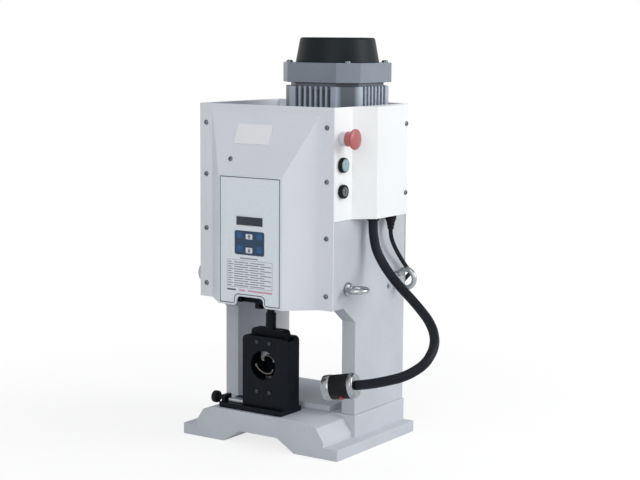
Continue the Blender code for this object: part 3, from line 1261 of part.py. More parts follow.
def lamp():
    """The gooseneck's socket and hose, and the lamp head on the hose's end."""
    bottom = BOX_BOTTOM - GAP - SOCKET_HEIGHT
    below = [(0, bottom), (SOCKET_RADIUS, bottom), (SOCKET_RADIUS, BOX_BOTTOM - GAP)]
    box_fitting("hose_socket", HOSE_X, HOSE_Y, below, "black plastic")

    start = Vector((HOSE_X, HOSE_Y, bottom - GAP))
    end = LAMP_REAR - LAMP_AIM * GAP
    lead = HOSE_RADIUS / 2
    wall = Vector((HOUSING_HALF_WIDTH, 0, 0))
    bends = [wall + Vector(point) * MM for point in HOSE_BENDS]
    points = [start, start - Vector((0, 0, lead)), *bends, end - LAMP_AIM * lead, end]
    route = smooth_route(points, 2 * HOSE_RADIUS)
    round_bar("gooseneck_hose", route, HOSE_RADIUS, 3, "black rubber")

    turn = Vector((0, 0, 1)).rotation_difference(LAMP_AIM).to_matrix().to_4x4()
    seat = Matrix.Translation(LAMP_REAR) @ turn

    def placed(bm):
        bmesh.ops.transform(bm, matrix=seat, verts=bm.verts)
        return bm

    body_low = LAMP_REAR_RING + GAP
    body_high = body_low + LAMP_BODY_LENGTH
    front_low = body_high + GAP
    front_high = front_low + LAMP_FRONT_RING
    rear = knurled(LAMP_RING_RADIUS, 0, LAMP_REAR_RING, 0, LAMP_KNURLS, LAMP_KNURL_DEPTH)
    make("lamp_rear_ring", placed(rear), "ground steel")
    make("lamp_body", placed(rod(LAMP_BODY_RADIUS, body_low, body_high, ROUND_COUNT)), "black plastic")
    mouth = LAMP_RING_RADIUS - LAMP_RING_WALL
    front = knurled(LAMP_RING_RADIUS, front_low, front_high, mouth, LAMP_KNURLS, LAMP_KNURL_DEPTH)
    make("lamp_front_ring", placed(front), "ground steel")
    lens = rod(mouth - GAP, front_low, front_low + LAMP_LENS_THICKNESS, ROUND_COUNT)
    make("lamp_lens", placed(lens), "clear lens")

    aim = (LAMP_SWITCH_AIM - LAMP_AIM * LAMP_SWITCH_AIM.dot(LAMP_AIM)).normalized()
    station = LAMP_REAR + LAMP_AIM * (body_low + LAMP_SWITCH_STATION)
    well_top = LAMP_BODY_RADIUS + OVERRUN
    well = rod(LAMP_SWITCH_RADIUS + GAP, LAMP_SWITCH_FOOT, well_top, SMALL_COUNT, aim, station)
    cut(bpy.data.objects["lamp_body"], well)
    foot = LAMP_SWITCH_FOOT + LAMP_SWITCH_PROUD
    top = LAMP_BODY_RADIUS + LAMP_SWITCH_PROUD
    button = rod(LAMP_SWITCH_RADIUS, foot, top, SMALL_COUNT, aim, station)
    make("lamp_switch", button, "red plastic", origin=station)


def round_bar(name, route, radius, resolution, finish_name):
    """A bar of round section along a route, as a bevelled curve with filled ends."""
    curve = bpy.data.curves.new(name, "CURVE")
    curve.dimensions = "3D"
    curve.bevel_depth = radius
    curve.bevel_resolution = resolution
    curve.use_fill_caps = True
    spline = curve.splines.new("POLY")
    spline.points.add(len(route) - 1)
    for point, place in zip(spline.points, route):
        point.co = (*place, 1)
    curve.materials.append(finish(name, finish_name))
    return link(bpy.data.objects.new(name, curve), bpy.data.objects["machine_datum"])


def mains_cord():
    """The gland under the box, the cord down behind the right frame, its coil and its plug."""
    tip = BOX_BOTTOM - GAP - GLAND_HEIGHT
    below = [
        (0, tip), (GLAND_TIP_RADIUS, tip), (GLAND_RADIUS * 0.75, tip + GLAND_HEIGHT * 0.22),
        (GLAND_RADIUS, tip + GLAND_HEIGHT * 0.5), (GLAND_RADIUS, BOX_BOTTOM - GAP),
    ]
    box_fitting("cord_gland", CORD_X, CORD_Y, below, "black plastic")

    start = Vector((CORD_X, CORD_Y, tip - GAP))
    corner = Vector((HOUSING_HALF_WIDTH, HOUSING_REAR, 0))
    bends = [corner + Vector(point) * MM for point in CORD_DROP]
    drop = [start, start - Vector((0, 0, CORD_RADIUS)), *bends]
    round_bar("power_cord", smooth_route(drop, 5 * CORD_RADIUS), CORD_RADIUS, 2, "black rubber")

    inner, outer = COIL_RADIUS - COIL_HALF_WIDTH, COIL_RADIUS + COIL_HALF_WIDTH
    corner = COIL_HEIGHT / 4
    section = [
        (inner + corner, 0), (outer - corner, 0), (outer, corner), (outer, COIL_HEIGHT - corner),
        (outer - corner, COIL_HEIGHT), (inner + corner, COIL_HEIGHT), (inner, COIL_HEIGHT - corner),
        (inner, corner),
    ]
    make("cord_coil", turned(section, ROUND_COUNT, "Z", (COIL_X, COIL_Y, 0)), "black rubber")

    reach = outer * math.cos(math.asin((PLUG_Y - COIL_Y - PLUG_NOSE_RADIUS) / outer))
    nose = COIL_X + reach + GAP
    x, y, z = nose + PLUG_NOSE, PLUG_Y, PLUG_HEIGHT / 2
    half = PLUG_WIDTH / 2
    outline = [
        (x, y - half / 2), (x + PLUG_LENGTH / 3, y - half), (x + PLUG_LENGTH, y - half),
        (x + PLUG_LENGTH, y + half), (x + PLUG_LENGTH / 3, y + half), (x, y + half / 2),
    ]
    plug = make("plug", prism(outline, "Z", 0, PLUG_HEIGHT), "black plastic")
    pins = [rod(PLUG_NOSE_RADIUS, nose, x + OVERRUN, SMALL_COUNT, "X", (0, y, z))]
    pin_start = x + PLUG_LENGTH - OVERRUN
    for side in (-1, 1):
        middle = y + side * PLUG_PIN_PITCH / 2
        width = (middle - PLUG_PIN_THICKNESS / 2, middle + PLUG_PIN_THICKNESS / 2)
        height = (z - PLUG_PIN_WIDTH / 2, z + PLUG_PIN_WIDTH / 2)
        pins.append(block((pin_start, pin_start + OVERRUN + PLUG_PIN_LENGTH), width, height))
    add(plug, gathered(pins))


def plate_outline(half_width, low, high, corner):
    """An upright plate with its two upper corners rounded."""
    right = [(half_width, low), *arc((half_width - corner, high - corner), corner, 0, 90, 4)]
    return right + [(-x, z) for x, z in reversed(right)]


def die_frame():
    """Base plate with its clamp lug, front plate, and rear frame with the slide's two guides."""
    low = DIE_SEAT
    high = low + DIE_BASE_THICKNESS
    right = DIE_HALF_WIDTH + GAP
    base = make(
        "die_base_plate", block((DIE_BASE_LEFT, right), (DIE_BASE_FRONT, DIE_BASE_REAR), (low, high)),
        "black oxide steel",
    )
    lug = block(
        (DIE_BASE_LEFT, DIE_BASE_LEFT + LUG_THICKNESS), (KNOB_Y - LUG_HALF_DEPTH, KNOB_Y + LUG_HALF_DEPTH),
        (low + DIE_BASE_THICKNESS / 2, LUG_TOP),
    )
    add(base, lug)
    through = (DIE_BASE_LEFT - OVERRUN, DIE_BASE_LEFT + LUG_THICKNESS + OVERRUN)
    thread = rod(KNOB_SHAFT_RADIUS + GAP, *through, SMALL_COUNT, "X", (0, KNOB_Y, KNOB_Z))
    cut(base, thread)

    outline = plate_outline(DIE_HALF_WIDTH, DIE_FOOT, DIE_TOP, DIE_CORNER)
    for name, front in (("die_front_plate", DIE_FRONT), ("die_rear_frame", DIE_REAR_PLATE_FRONT)):
        back = front + DIE_PLATE_THICKNESS
        plate = make(name, prism(outline, "Y", front, back), "black oxide steel")
        centre = (0, 0, DIE_WINDOW_Z)
        window = rod(DIE_WINDOW_RADIUS, front - OVERRUN, back + OVERRUN, ROUND_COUNT, "Y", centre)
        cut(plate, window)
        if front == DIE_FRONT:
            cut_screw_holes(plate)
            continue
        inner = DIE_HALF_WIDTH - DIE_GUIDE_WIDTH
        for side in (-1, 1):
            x = sorted((side * inner, side * DIE_HALF_WIDTH))
            add(plate, block(x, (DIE_SLIDE_FRONT, front + OVERRUN), (DIE_FOOT, DIE_GUIDE_TOP)))


def die_screw_places():
    """Where the four front screws sit, with each one's length."""
    return [
        ((side * DIE_SCREW_X, DIE_FRONT, z), length)
        for side in (-1, 1)
        for z, length in ((DIE_SCREW_HIGH, DIE_SCREW_SHORT), (DIE_SCREW_LOW, DIE_SCREW_LONG))
    ]


def cut_screw_holes(plate):
    holes = []
    for place, length in die_screw_places():
        holes.append(rod(SCREW_HOLE_RADIUS, -OVERRUN, length + GAP, TINY_COUNT, "Y", place))
    cut(plate, gathered(holes))


def die_mechanism():
    """The slide with its post and crimper jaw, the anvil jaw under it, and the screws."""
    half = DIE_HALF_WIDTH - DIE_GUIDE_WIDTH - GAP
    near, far = DIE_SLIDE_FRONT + GAP, DIE_SLIDE_FRONT + DIE_SLIDE_DEPTH - GAP
    axis = (0, DIE_AXIS_Y, 0)
    outline = plate_outline(half, DIE_SLIDE_BOTTOM, DIE_SLIDE_TOP, DIE_CORNER - GAP)
    slide = make("die_slide", prism(outline, "Y", near, far), "black oxide steel", origin=axis)
    hook_bottom = HEAD_BOTTOM - GAP - HOOK_HEIGHT
    head_low = hook_bottom + HOOK_FLOOR + GAP
    post = [
        (0, DIE_SLIDE_TOP - OVERRUN), (DIE_SLIDE_DEPTH / 2 - 2 * GAP, DIE_SLIDE_TOP - OVERRUN),
        (DIE_SLIDE_DEPTH / 2 - 2 * GAP, DIE_SLIDE_TOP + GAP), (POST_RADIUS, DIE_SLIDE_TOP + GAP),
        (POST_RADIUS, POST_SHOULDER), (POST_NECK_RADIUS, POST_SHOULDER), (POST_NECK_RADIUS, head_low),
        (POST_HEAD_RADIUS, head_low), (POST_HEAD_RADIUS, head_low + POST_HEAD_HEIGHT),
        (0, head_low + POST_HEAD_HEIGHT),
    ]
    add(slide, turned(post, ROUND_COUNT, "Z", axis))

    jaw_near = DIE_AXIS_Y - JAW_DEPTH / 2
    jaw_far = DIE_AXIS_Y + JAW_DEPTH / 2
    bite = UPPER_JAW_NOTCH_HALF
    bevel = (UPPER_JAW_HALF_WIDTH - bite) / 2
    right = [
        (UPPER_JAW_HALF_WIDTH, DIE_SLIDE_BOTTOM - GAP), (UPPER_JAW_HALF_WIDTH, UPPER_JAW_TIP + bevel),
        (UPPER_JAW_HALF_WIDTH - bevel, UPPER_JAW_TIP), (bite, UPPER_JAW_TIP),
        *arc((0, UPPER_JAW_NOTCH_TOP - bite), bite, 0, 90, 5),
    ]
    outline = mirrored_jaw(right)
    make("upper_jaw", prism(outline, "Y", jaw_near, jaw_far), "ground steel", origin=axis)

    tip_half = bite - 2 * GAP
    tip = UPPER_JAW_NOTCH_TOP - RAM_STROKE - bite
    crown = tip + bite * 0.75
    half_outline = [
        (0, DIE_FOOT), (ANVIL_FOOT_HALF, DIE_FOOT), (ANVIL_FOOT_HALF, ANVIL_FOOT_TOP),
        (tip_half, ANVIL_FOOT_TOP),
        (tip_half, tip), (tip_half * 0.62, crown - ANVIL_TIP_DISH / 2), (0, crown - ANVIL_TIP_DISH),
    ]
    lower = make("lower_jaw", prism(mirrored(half_outline), "Y", jaw_near, jaw_far), "ground steel")
    cut_screw_holes(lower)


def mirrored_jaw(right):
    """The crimper's whole outline from its right half, whose last point lies on the axis."""
    return right + [(-x, z) for x, z in reversed(right[:-1])]


def die_clamp():
    """The knurled thumb screw and the bar that it presses against the die's side."""
    end = -DIE_HALF_WIDTH - GAP
    start = end - CLAMP_BAR_LENGTH
    y = (KNOB_Y - CLAMP_BAR_HALF_DEPTH, KNOB_Y + CLAMP_BAR_HALF_DEPTH)
    make("clamp_bar", block((start, end), y, (DIE_FOOT, DIE_FOOT + CLAMP_BAR_HEIGHT)), "ground steel")

    axis = (0, KNOB_Y, KNOB_Z)
    rear = DIE_BASE_LEFT - KNOB_STANDOFF
    head = knurled(KNOB_RADIUS, rear - KNOB_LENGTH, rear, 0, KNOB_KNURLS, KNOB_KNURL_DEPTH)
    knob = make("clamp_knob", laid(head, "X", axis), "black plastic", origin=axis)
    add(knob, rod(KNOB_SHAFT_RADIUS, rear - KNOB_LENGTH / 2, start - GAP, SMALL_COUNT, "X", axis))


def main():
    clear_scene()
    datum()
    base_casting()
    rear_table_plate()
    side_frames()
    head_block()
    housing_shell()
    side_box_cover()
    front_cover()
    panel_pieces()
    lifting_eyes()
    ram_parts()
    crank_parts()
    gear_case()
    motor_shaft()
    motor()
    controls()
    control_board()
    lamp()
    mains_cord()
    die_frame()
    die_mechanism()
    die_clamp()


main()
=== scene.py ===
"""A bench terminal crimping machine: its finishes, fittings, mains lead and studio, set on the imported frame."""

import json
import math

import bmesh
import bpy
from bpy.props import FloatProperty, FloatVectorProperty, IntProperty, PointerProperty
from mathutils import Matrix, Vector

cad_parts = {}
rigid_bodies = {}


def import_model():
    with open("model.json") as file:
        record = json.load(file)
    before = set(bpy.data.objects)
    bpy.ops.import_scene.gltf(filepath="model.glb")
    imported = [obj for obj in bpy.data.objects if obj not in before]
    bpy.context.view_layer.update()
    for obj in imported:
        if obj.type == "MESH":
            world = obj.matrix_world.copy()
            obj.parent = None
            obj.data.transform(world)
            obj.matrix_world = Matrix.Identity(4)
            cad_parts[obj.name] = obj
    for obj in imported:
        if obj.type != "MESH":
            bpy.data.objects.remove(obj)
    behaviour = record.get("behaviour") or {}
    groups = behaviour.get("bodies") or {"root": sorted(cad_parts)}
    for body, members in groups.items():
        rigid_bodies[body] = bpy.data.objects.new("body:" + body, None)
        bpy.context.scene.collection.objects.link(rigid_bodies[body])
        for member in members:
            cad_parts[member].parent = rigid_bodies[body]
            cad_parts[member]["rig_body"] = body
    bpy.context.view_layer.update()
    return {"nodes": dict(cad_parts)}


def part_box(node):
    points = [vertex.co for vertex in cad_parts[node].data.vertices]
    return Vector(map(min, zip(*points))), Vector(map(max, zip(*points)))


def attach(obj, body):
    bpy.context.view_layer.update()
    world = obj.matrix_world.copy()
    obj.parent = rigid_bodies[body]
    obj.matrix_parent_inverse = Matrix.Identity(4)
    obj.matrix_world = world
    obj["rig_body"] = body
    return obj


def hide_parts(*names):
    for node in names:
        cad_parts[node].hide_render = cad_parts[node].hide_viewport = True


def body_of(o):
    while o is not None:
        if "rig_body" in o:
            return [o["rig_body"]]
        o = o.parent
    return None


bl_info = {
    "name": "Terminal Crimping Machine",
    "version": (1, 0, 0),
    "blender": (4, 5, 0),
    "location": "View3D > Sidebar > Crimping Machine",
    "description": "Dresses the frame of a bench terminal crimping machine with its finished pieces",
    "category": "Add Mesh",
}

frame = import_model()

MM = 0.001
FULL_TURN = 2 * math.pi
CREASE = math.radians(32)
COVER_SETBACK = 16.5 * MM  # from the front of the base back to the face of the cover
CASTING_LOW, CASTING_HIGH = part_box("base_casting")
COVER_FACE = Vector(((CASTING_LOW.x + CASTING_HIGH.x) / 2, CASTING_LOW.y + COVER_SETBACK, 0))

# Places on the machine, in the millimetres that at() takes
BENCH_TO_FRAMES = 50
FRAME_FOOT_X = 83
FLANGE_SCREW_X = 109
FLANGE_SCREW_HEIGHTS = (237, 321.4, 403.5, 481)
SLOPE_SCREW = (-42, 431)
BOX_FACE_X, BOX_SCREW_Y = 147.8, 155
BOX_SCREW_HEIGHTS = (378.5, 481.8)
SLOPE_TOP = 500
PANEL_TOP = 409.6
PANEL_DEPTH = 37.3
NOTCH_HALF_WIDTH = 25.2
NOTCH_TOP = 231.2
EYE_FACE_X, EYE_HEIGHT = 120.3, 244
MOTOR_AXIS = (40, 130.6)
MOTOR_SCREW_OFFSET = 52
MOTOR_TOP = 571.6
FIN_ROOT, FIN_TIP = 60.2, 65.6  # from the motor's axis
FAN_COVER_FOOT = 571.9
FAN_COVER_HEIGHT = 36.8
WALL_X = 121
SWITCH_Y = 21
STOP_HEIGHT, START_HEIGHT, KEY_HEIGHT = 465, 427, 389
STEM, STEM_BORE, BARREL = 5, 5.3, 8
LAMP_REAR = Vector((196.6, -52.7, 127.8))
LAMP_AIM = Vector((-0.971, -0.169, -0.178)).normalized()
HOSE_ROUTE = (
    (134.5, 86, 341.4), (134.7, 86, 331), (136, 86, 319), (140, 87, 300), (150, 87, 282),
    (165, 84, 266), (186, 78, 250), (211, 69, 235), (236, 57, 221), (258, 42, 209),
    (274, 27, 196), (283, 12, 184), (286, -3, 173), (284, -16, 163), (276, -28, 154),
    (263, -38, 146), (246, -45, 140), (229, -48, 135), (212, -50.1, 130.7), (197.4, -52.6, 128),
)
GLAND_TOP = 345.7
CORD_EXIT = (134, 137, 323.4)
CORD_GAP = 0.3
CORD_DROP = (
    (134, 137, 320.2), (134, 139.8, 310.5), (133.4, 149, 297.5), (132.4, 164, 282.5), (131, 181, 268),
    (130, 195, 257), (127.5, 207, 249), (117, 216, 240), (104, 221, 228), (94, 225, 210), (86, 229, 185),
    (81, 232, 150), (76, 233, 110), (69, 231, 72), (58, 227, 38), (42, 221, 16), (22, 216, 6.5),
    (0, 213, 3.6), (-20, 211.8, 3.5), (-42, 211.3, 3.5),
)
COIL_PLACE = (-62, 258)
COIL_PITCH = 1.03  # in diameters of the lead
PLUG_BEND = 32
PLUG_SIDE_STEP = 10.06
PLUG_HEIGHT = 10
BLADE_OFFSET = 6.35
DIE_FRONT = -4
DIE_WINDOW = (0, 122.5)
DIE_SCREWS = ((-11.4, 157), (11.4, 157), (-11.4, 81.7), (11.4, 81.7))
CLAMP_KNOB = (-97, 3, 61.2)

# Each screw's head radius, head height, shank radius, depth and socket radius in millimetres
COVER_SCREW = (3.7, 2.4, 2.1, 6, 1.4)
BOX_SCREW = (3.7, 2.4, 2.1, 5, 1.4)
MOTOR_SCREW = (5, 3.4, 2.8, 10, 2)
DIE_SCREW = (3.3, 1.4, 2, 5, 1.4)

# The camera, with its focal length and picture in pixels and its sensor in millimetres
CAMERA_SPOT = (1328.4, -1835.5, 614.3)
CAMERA_YAW, CAMERA_DIP, CAMERA_ROLL = (math.radians(angle) for angle in (33.833, 7.613, 0.420))
FOCAL_PIXELS, PICTURE_PIXELS, SENSOR_WIDTH = 1544.53, 640, 36
LIGHT_TARGET = (0, 60, 300)
# Each light's name and spot, its width in metres and its power in watts
LIGHTS = (
    ("window_right", (2200, 900, 1300), 1.5, 31),
    ("window_front", (900, -2200, 1200), 1.7, 17.5),
    ("ceiling", (200, -100, 2300), 1.8, 5.5),
)
FLOOR_REACH, FLOOR_GAP = 9, 0.2 * MM


def at(x, y, z):
    """A point of the machine in millimetres: X from the middle, Y from the face of the front cover, Z up."""
    return COVER_FACE + Vector((x, y, z)) * MM


def extent(node):
    """The low and the high corner of a part of the frame, in the machine's millimetres."""
    return [(corner - COVER_FACE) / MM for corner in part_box(node)]


def paint(red, green, blue):
    """A colour as a paint card gives it, in the form that a shader takes."""
    return tuple(
        c / 12.92 if c <= 0.04045 else ((c + 0.055) / 1.055) ** 2.4
        for c in (red / 255, green / 255, blue / 255)
    )


def millimetres(name, description, default, least):
    """A property for a length, given in millimetres."""
    return FloatProperty(name=name, description=description, default=default * MM, min=least * MM, unit="LENGTH")


def paint_card(name, description, red, green, blue):
    """A property for a colour, given as a paint card has it."""
    return FloatVectorProperty(name=name, description=description, subtype="COLOR", default=paint(red, green, blue))


class CrimperSizes(bpy.types.PropertyGroup):
    """Sizes of the dressed machine that a user would change."""

    edge_radius: millimetres("Edge radius", "Rounding along the edges of castings and plates", 1, 0.1)
    fold_radius: millimetres("Fold radius", "Outer radius where the sheet metal of the housing is folded", 1.4, 0.1)
    lathe_steps: IntProperty(
        name="Steps around", description="Flat facets around a turned piece", default=96, min=24,
    )
    print_thickness: millimetres("Print thickness", "How far the printed marks stand on the front film", 0.12, 0.02)
    border_width: millimetres("Border line", "Width of the dark line around the front film", 1.3, 0.3)
    border_inset: millimetres(
        "Border inset", "How far the dark line lies inside the edge of the front film", 1.7, 0.2
    )
    hose_diameter: millimetres("Lamp hose", "Diameter of the bending hose of the lamp", 14, 4)
    cord_diameter: millimetres("Mains lead", "Diameter of the mains lead", 6.4, 3)
    cord_length: millimetres("Lead length", "Length of the mains lead from its gland to its plug", 1800, 500)
    coil_radius: millimetres("Coil radius", "Radius at the middle of the turns of the stored lead", 37, 20)
    coil_turns: FloatProperty(
        name="Turns", description="Turns of the stored lead, in two layers", default=5.5, min=1.5,
    )


class CrimperColours(bpy.types.PropertyGroup):
    """Colours of the machine's finishes."""

    housing: paint_card("Housing", "Powder coat of the sheet metal", 234, 236, 243)
    casting: paint_card("Castings", "Paint of the base and the side frames", 204, 208, 215)
    film: paint_card("Front film", "Printed film of the front panel", 239, 246, 255)
    keypad: paint_card("Keypad", "Ground colour of the keypad", 36, 66, 94)
    stop_button: paint_card("Stop button", "Head of the emergency stop button", 180, 96, 97)
    start_button: paint_card("Start button", "Cap of the start button", 142, 176, 180)
    die: paint_card("Die set", "Blackened steel of the crimping die set", 12, 17, 24)
    motor: paint_card("Motor", "Paint of the motor's cast body", 146, 155, 167)
    hose: paint_card("Hose", "Sleeve of the lamp's hose", 27, 30, 37)


def math_node(operation, swapped=False):
    """A method of Level that adds one Math node and gives the level that it works out."""
    def work_out(level, other):
        first, second = (other, level) if swapped else (level, other)
        return level.wiring.level("ShaderNodeMath", {"operation": operation}, {0: first, 1: second})
    return work_out


class Level:
    """A number that changes over a surface. An expression with levels adds its Math nodes."""

    __add__, __radd__ = math_node("ADD"), math_node("ADD", True)
    __sub__, __rsub__ = math_node("SUBTRACT"), math_node("SUBTRACT", True)
    __mul__, __rmul__ = math_node("MULTIPLY"), math_node("MULTIPLY", True)

    def __init__(self, wiring, socket):
        self.wiring = wiring
        self.socket = socket


class Wiring:
    """The nodes of one material or world, which are made and linked by one method."""

    def __init__(self, tree):
        self.tree = tree

    def put(self, socket, value):
        """Link or set one socket."""
        if isinstance(value, Level):
            value = value.socket
        if isinstance(value, bpy.types.NodeSocket):
            self.tree.links.new(value, socket)
        elif socket.type == "RGBA" and len(value) == 3:
            socket.default_value = (*value, 1)
        else:
            socket.default_value = value

    def node(self, kind, settings=None, sockets=None):
        """A node of that kind with its settings made first, then the values or links of its sockets."""
        node = self.tree.nodes.new(kind)
        for key, value in (settings or {}).items():
            setattr(node, key, value)
        for key, value in (sockets or {}).items():
            self.put(node.inputs[key], value)
        return node

    def level(self, kind, settings=None, sockets=None, output=0):
        """One output of a new node."""
        return Level(self, self.node(kind, settings, sockets).outputs[output])

    def rays(self, *kinds):
        """1 for light rays of these kinds, 0 for the rest."""
        outputs = self.node("ShaderNodeLightPath").outputs
        first, *others = (Level(self, outputs[f"Is {kind} Ray"]) for kind in kinds)
        return sum(others, first)

    def ramp(self, level, low, high):
        """The level spread so that low becomes 0 and high becomes 1."""
        return self.level(
            "ShaderNodeMapRange", {"clamp": True}, {"Value": level, "From Min": low, "From Max": high}
        )

    def blend(self, level, first, second):
        """One colour where the level is 0, the other where it is 1."""
        return self.node("ShaderNodeMix", {"data_type": "RGBA"}, {0: level, 6: first, 7: second}).outputs[2]


class Finish(Wiring):
    """One finish of the machine: its material and the slot of the record that it belongs to."""

    def __init__(self, name, slot, **constants):
        self.slot = slot
        self.material = bpy.data.materials.new(name)
        self.material.use_nodes = True
        super().__init__(self.material.node_tree)
        self.shader = next(n for n in self.tree.nodes if n.type == "BSDF_PRINCIPLED")
        self.spot = self.node("ShaderNodeTexCoord").outputs["Object"]
        for socket, value in constants.items():
            self.feed(socket.replace("_", " ").title().replace("Ior", "IOR"), value)

    def feed(self, name, value):
        self.put(self.shader.inputs[name], value)

    def noise(self, scale, detail, stretch=None):
        """Noise over the surface, drawn out along the axis whose stretch is small, as a tool's marks are."""
        spot = self.spot
        if stretch:
            spot = self.node("ShaderNodeMapping", None, {"Vector": spot, "Scale": stretch}).outputs[0]
        return self.level("ShaderNodeTexNoise", None, {"Vector": spot, "Scale": scale, "Detail": detail})

    def cloud(self, scale, detail, low, high, stretch=None):
        """Noise spread into clouds, patches or specks."""
        return self.ramp(self.noise(scale, detail, stretch), low, high)

    def tones(self, level, colour, first, second):
        """A colour times one factor where the level is 0 and times the other where it is 1."""
        return self.blend(level, shade(colour, first), shade(colour, second))

    def surface(self, colour, roughness, height, strength, depth):
        """Feed what changes over the surface: its colour, its roughness and the height of its grain, depth in mm."""
        self.feed("Base Color", colour)
        self.feed("Roughness", roughness)
        bump = self.node("ShaderNodeBump", None, {"Strength": strength, "Distance": depth * MM, "Height": height})
        self.feed("Normal", bump.outputs[0])
        return self


def shade(colour, factor):
    """The same colour, darker or lighter by a factor."""
    return tuple(min(1.0, c * factor) for c in colour)


def powder_coat(name, slot, colour):
    """Baked paint on sheet metal: a fine peel, a slow drift of tone and a few duller patches."""
    finish = Finish(name, slot, specular_ior_level=0.4)
    tone = finish.tones(finish.cloud(7, 2, 0.3, 0.7), colour, 0.965, 1.02)
    patches = finish.cloud(38, 4, 0.42, 0.72)
    specks = finish.cloud(900, 1, 0.66, 0.74)
    speckled = finish.blend(specks * 0.3, tone, shade(colour, 0.82))
    return finish.surface(speckled, 0.4 + 0.08 * patches, finish.noise(520, 2), 0.12, 0.12)


def cast_paint(name, slot, colour, rough=0.48, grain=260):
    """Thick paint over a casting, which keeps some of the sand's grain."""
    finish = Finish(name, slot, specular_ior_level=0.4)
    cloud = finish.cloud(14, 5, 0.35, 0.68)
    pits = finish.cloud(420, 2, 0.62, 0.75)
    pitted = finish.blend(pits * 0.35, finish.tones(cloud, colour, 0.93, 1.03), shade(colour, 0.72))
    return finish.surface(pitted, rough + 0.1 * cloud, finish.noise(grain, 5) + 0.6 * pits, 0.3, 0.25)


def finned_paint(name, slot, colour):
    """Paint of the motor's body, darkened between its cooling fins as painted shade."""
    finish = cast_paint(name, slot, colour, 0.34, 320)
    low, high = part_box("motor_body")
    middle = (low + high) / 2
    parts = finish.node("ShaderNodeSeparateXYZ", None, {0: finish.spot}).outputs
    across = [
        finish.level("ShaderNodeMath", {"operation": "ABSOLUTE"}, {0: Level(finish, parts[axis]) - middle[axis]})
        for axis in (0, 1)
    ]
    reach = finish.level("ShaderNodeMath", {"operation": "MAXIMUM"}, {0: across[0], 1: across[1]})
    # Painted shade: towards the roots of the fins the colour falls to a quarter of the paint's, for the shade in the
    # valleys
    crest = finish.ramp(reach, FIN_ROOT * MM, FIN_TIP * MM)
    tone = finish.tones(finish.cloud(14, 5, 0.35, 0.68), colour, 0.9, 1.06)
    finish.feed("Base Color", finish.blend(crest, shade(colour, 0.24), tone))
    return finish


def worked_steel(name, slot, colour, rough, stretch):
    """Bare metal with the marks of the tool that last cut it along one axis."""
    finish = Finish(name, slot, metallic=1.0)
    marks = finish.noise(900, 3, stretch)
    stains = finish.cloud(45, 4, 0.4, 0.7)
    stained = finish.blend(stains * 0.25, finish.tones(marks, colour, 0.86, 1.1), shade(colour, 0.7))
    return finish.surface(stained, rough + 0.14 * marks + 0.06 * stains, marks, 0.1, 0.05)


def oxide_steel(name, slot, colour):
    """Blackened steel: cloudy, with bare glints where it is handled."""
    finish = Finish(name, slot, metallic=0.3, specular_ior_level=0.16)
    cloud = finish.cloud(60, 5, 0.35, 0.7)
    rubbed = finish.cloud(300, 3, 0.63, 0.78, (1, 1, 0.2))
    glinting = finish.blend(rubbed * 0.25, finish.tones(cloud, colour, 0.75, 1.35), paint(84, 86, 92))
    return finish.surface(glinting, 0.4 + 0.15 * cloud - 0.1 * rubbed, finish.noise(700, 3), 0.12, 0.06)


def moulded(name, slot, colour, rough, grain=1100, lift=1.12, coat=0.0, shine=0.3):
    """Moulded plastic or rubber with a fine spark grain and a little dust."""
    finish = Finish(name, slot, specular_ior_level=shine, coat_weight=coat, coat_roughness=0.08)
    dust = finish.cloud(32, 5, 0.45, 0.8)
    return finish.surface(
        finish.tones(dust, colour, 1, lift), rough + 0.12 * dust, finish.noise(grain, 2), 0.14, 0.06
    )


def printed(name, slot, colour, rough=0.38):
    """Printed ink on film, a little uneven under a satin skin."""
    finish = Finish(name, slot, specular_ior_level=0.4)
    ink = finish.tones(finish.noise(220, 3), colour, 0.94, 1.05)
    return finish.surface(ink, rough + 0.08 * finish.noise(90, 2), finish.noise(1400, 1), 0.08, 0.03)


def bright_metal(name, slot, colour, rough, spots):
    """Plated metal: bright, with a cloudy bloom on it."""
    finish = Finish(name, slot, metallic=1.0)
    bloom = finish.cloud(85, 5, 0.38, 0.7)
    return finish.surface(
        finish.tones(bloom, colour, 1, 1 - spots), rough + 0.16 * bloom, finish.noise(600, 3), 0.06, 0.04
    )


def clear_glass(name, slot, colour):
    """A pressed lens with fine dust on it."""
    finish = Finish(name, slot, transmission_weight=0.6, ior=1.5)
    dust = finish.cloud(160, 4, 0.5, 0.8)
    return finish.surface(
        finish.tones(dust, colour, 1, 0.88), 0.08 + 0.2 * dust, finish.noise(420, 2), 0.1, 0.05
    )


FINISHES = {}


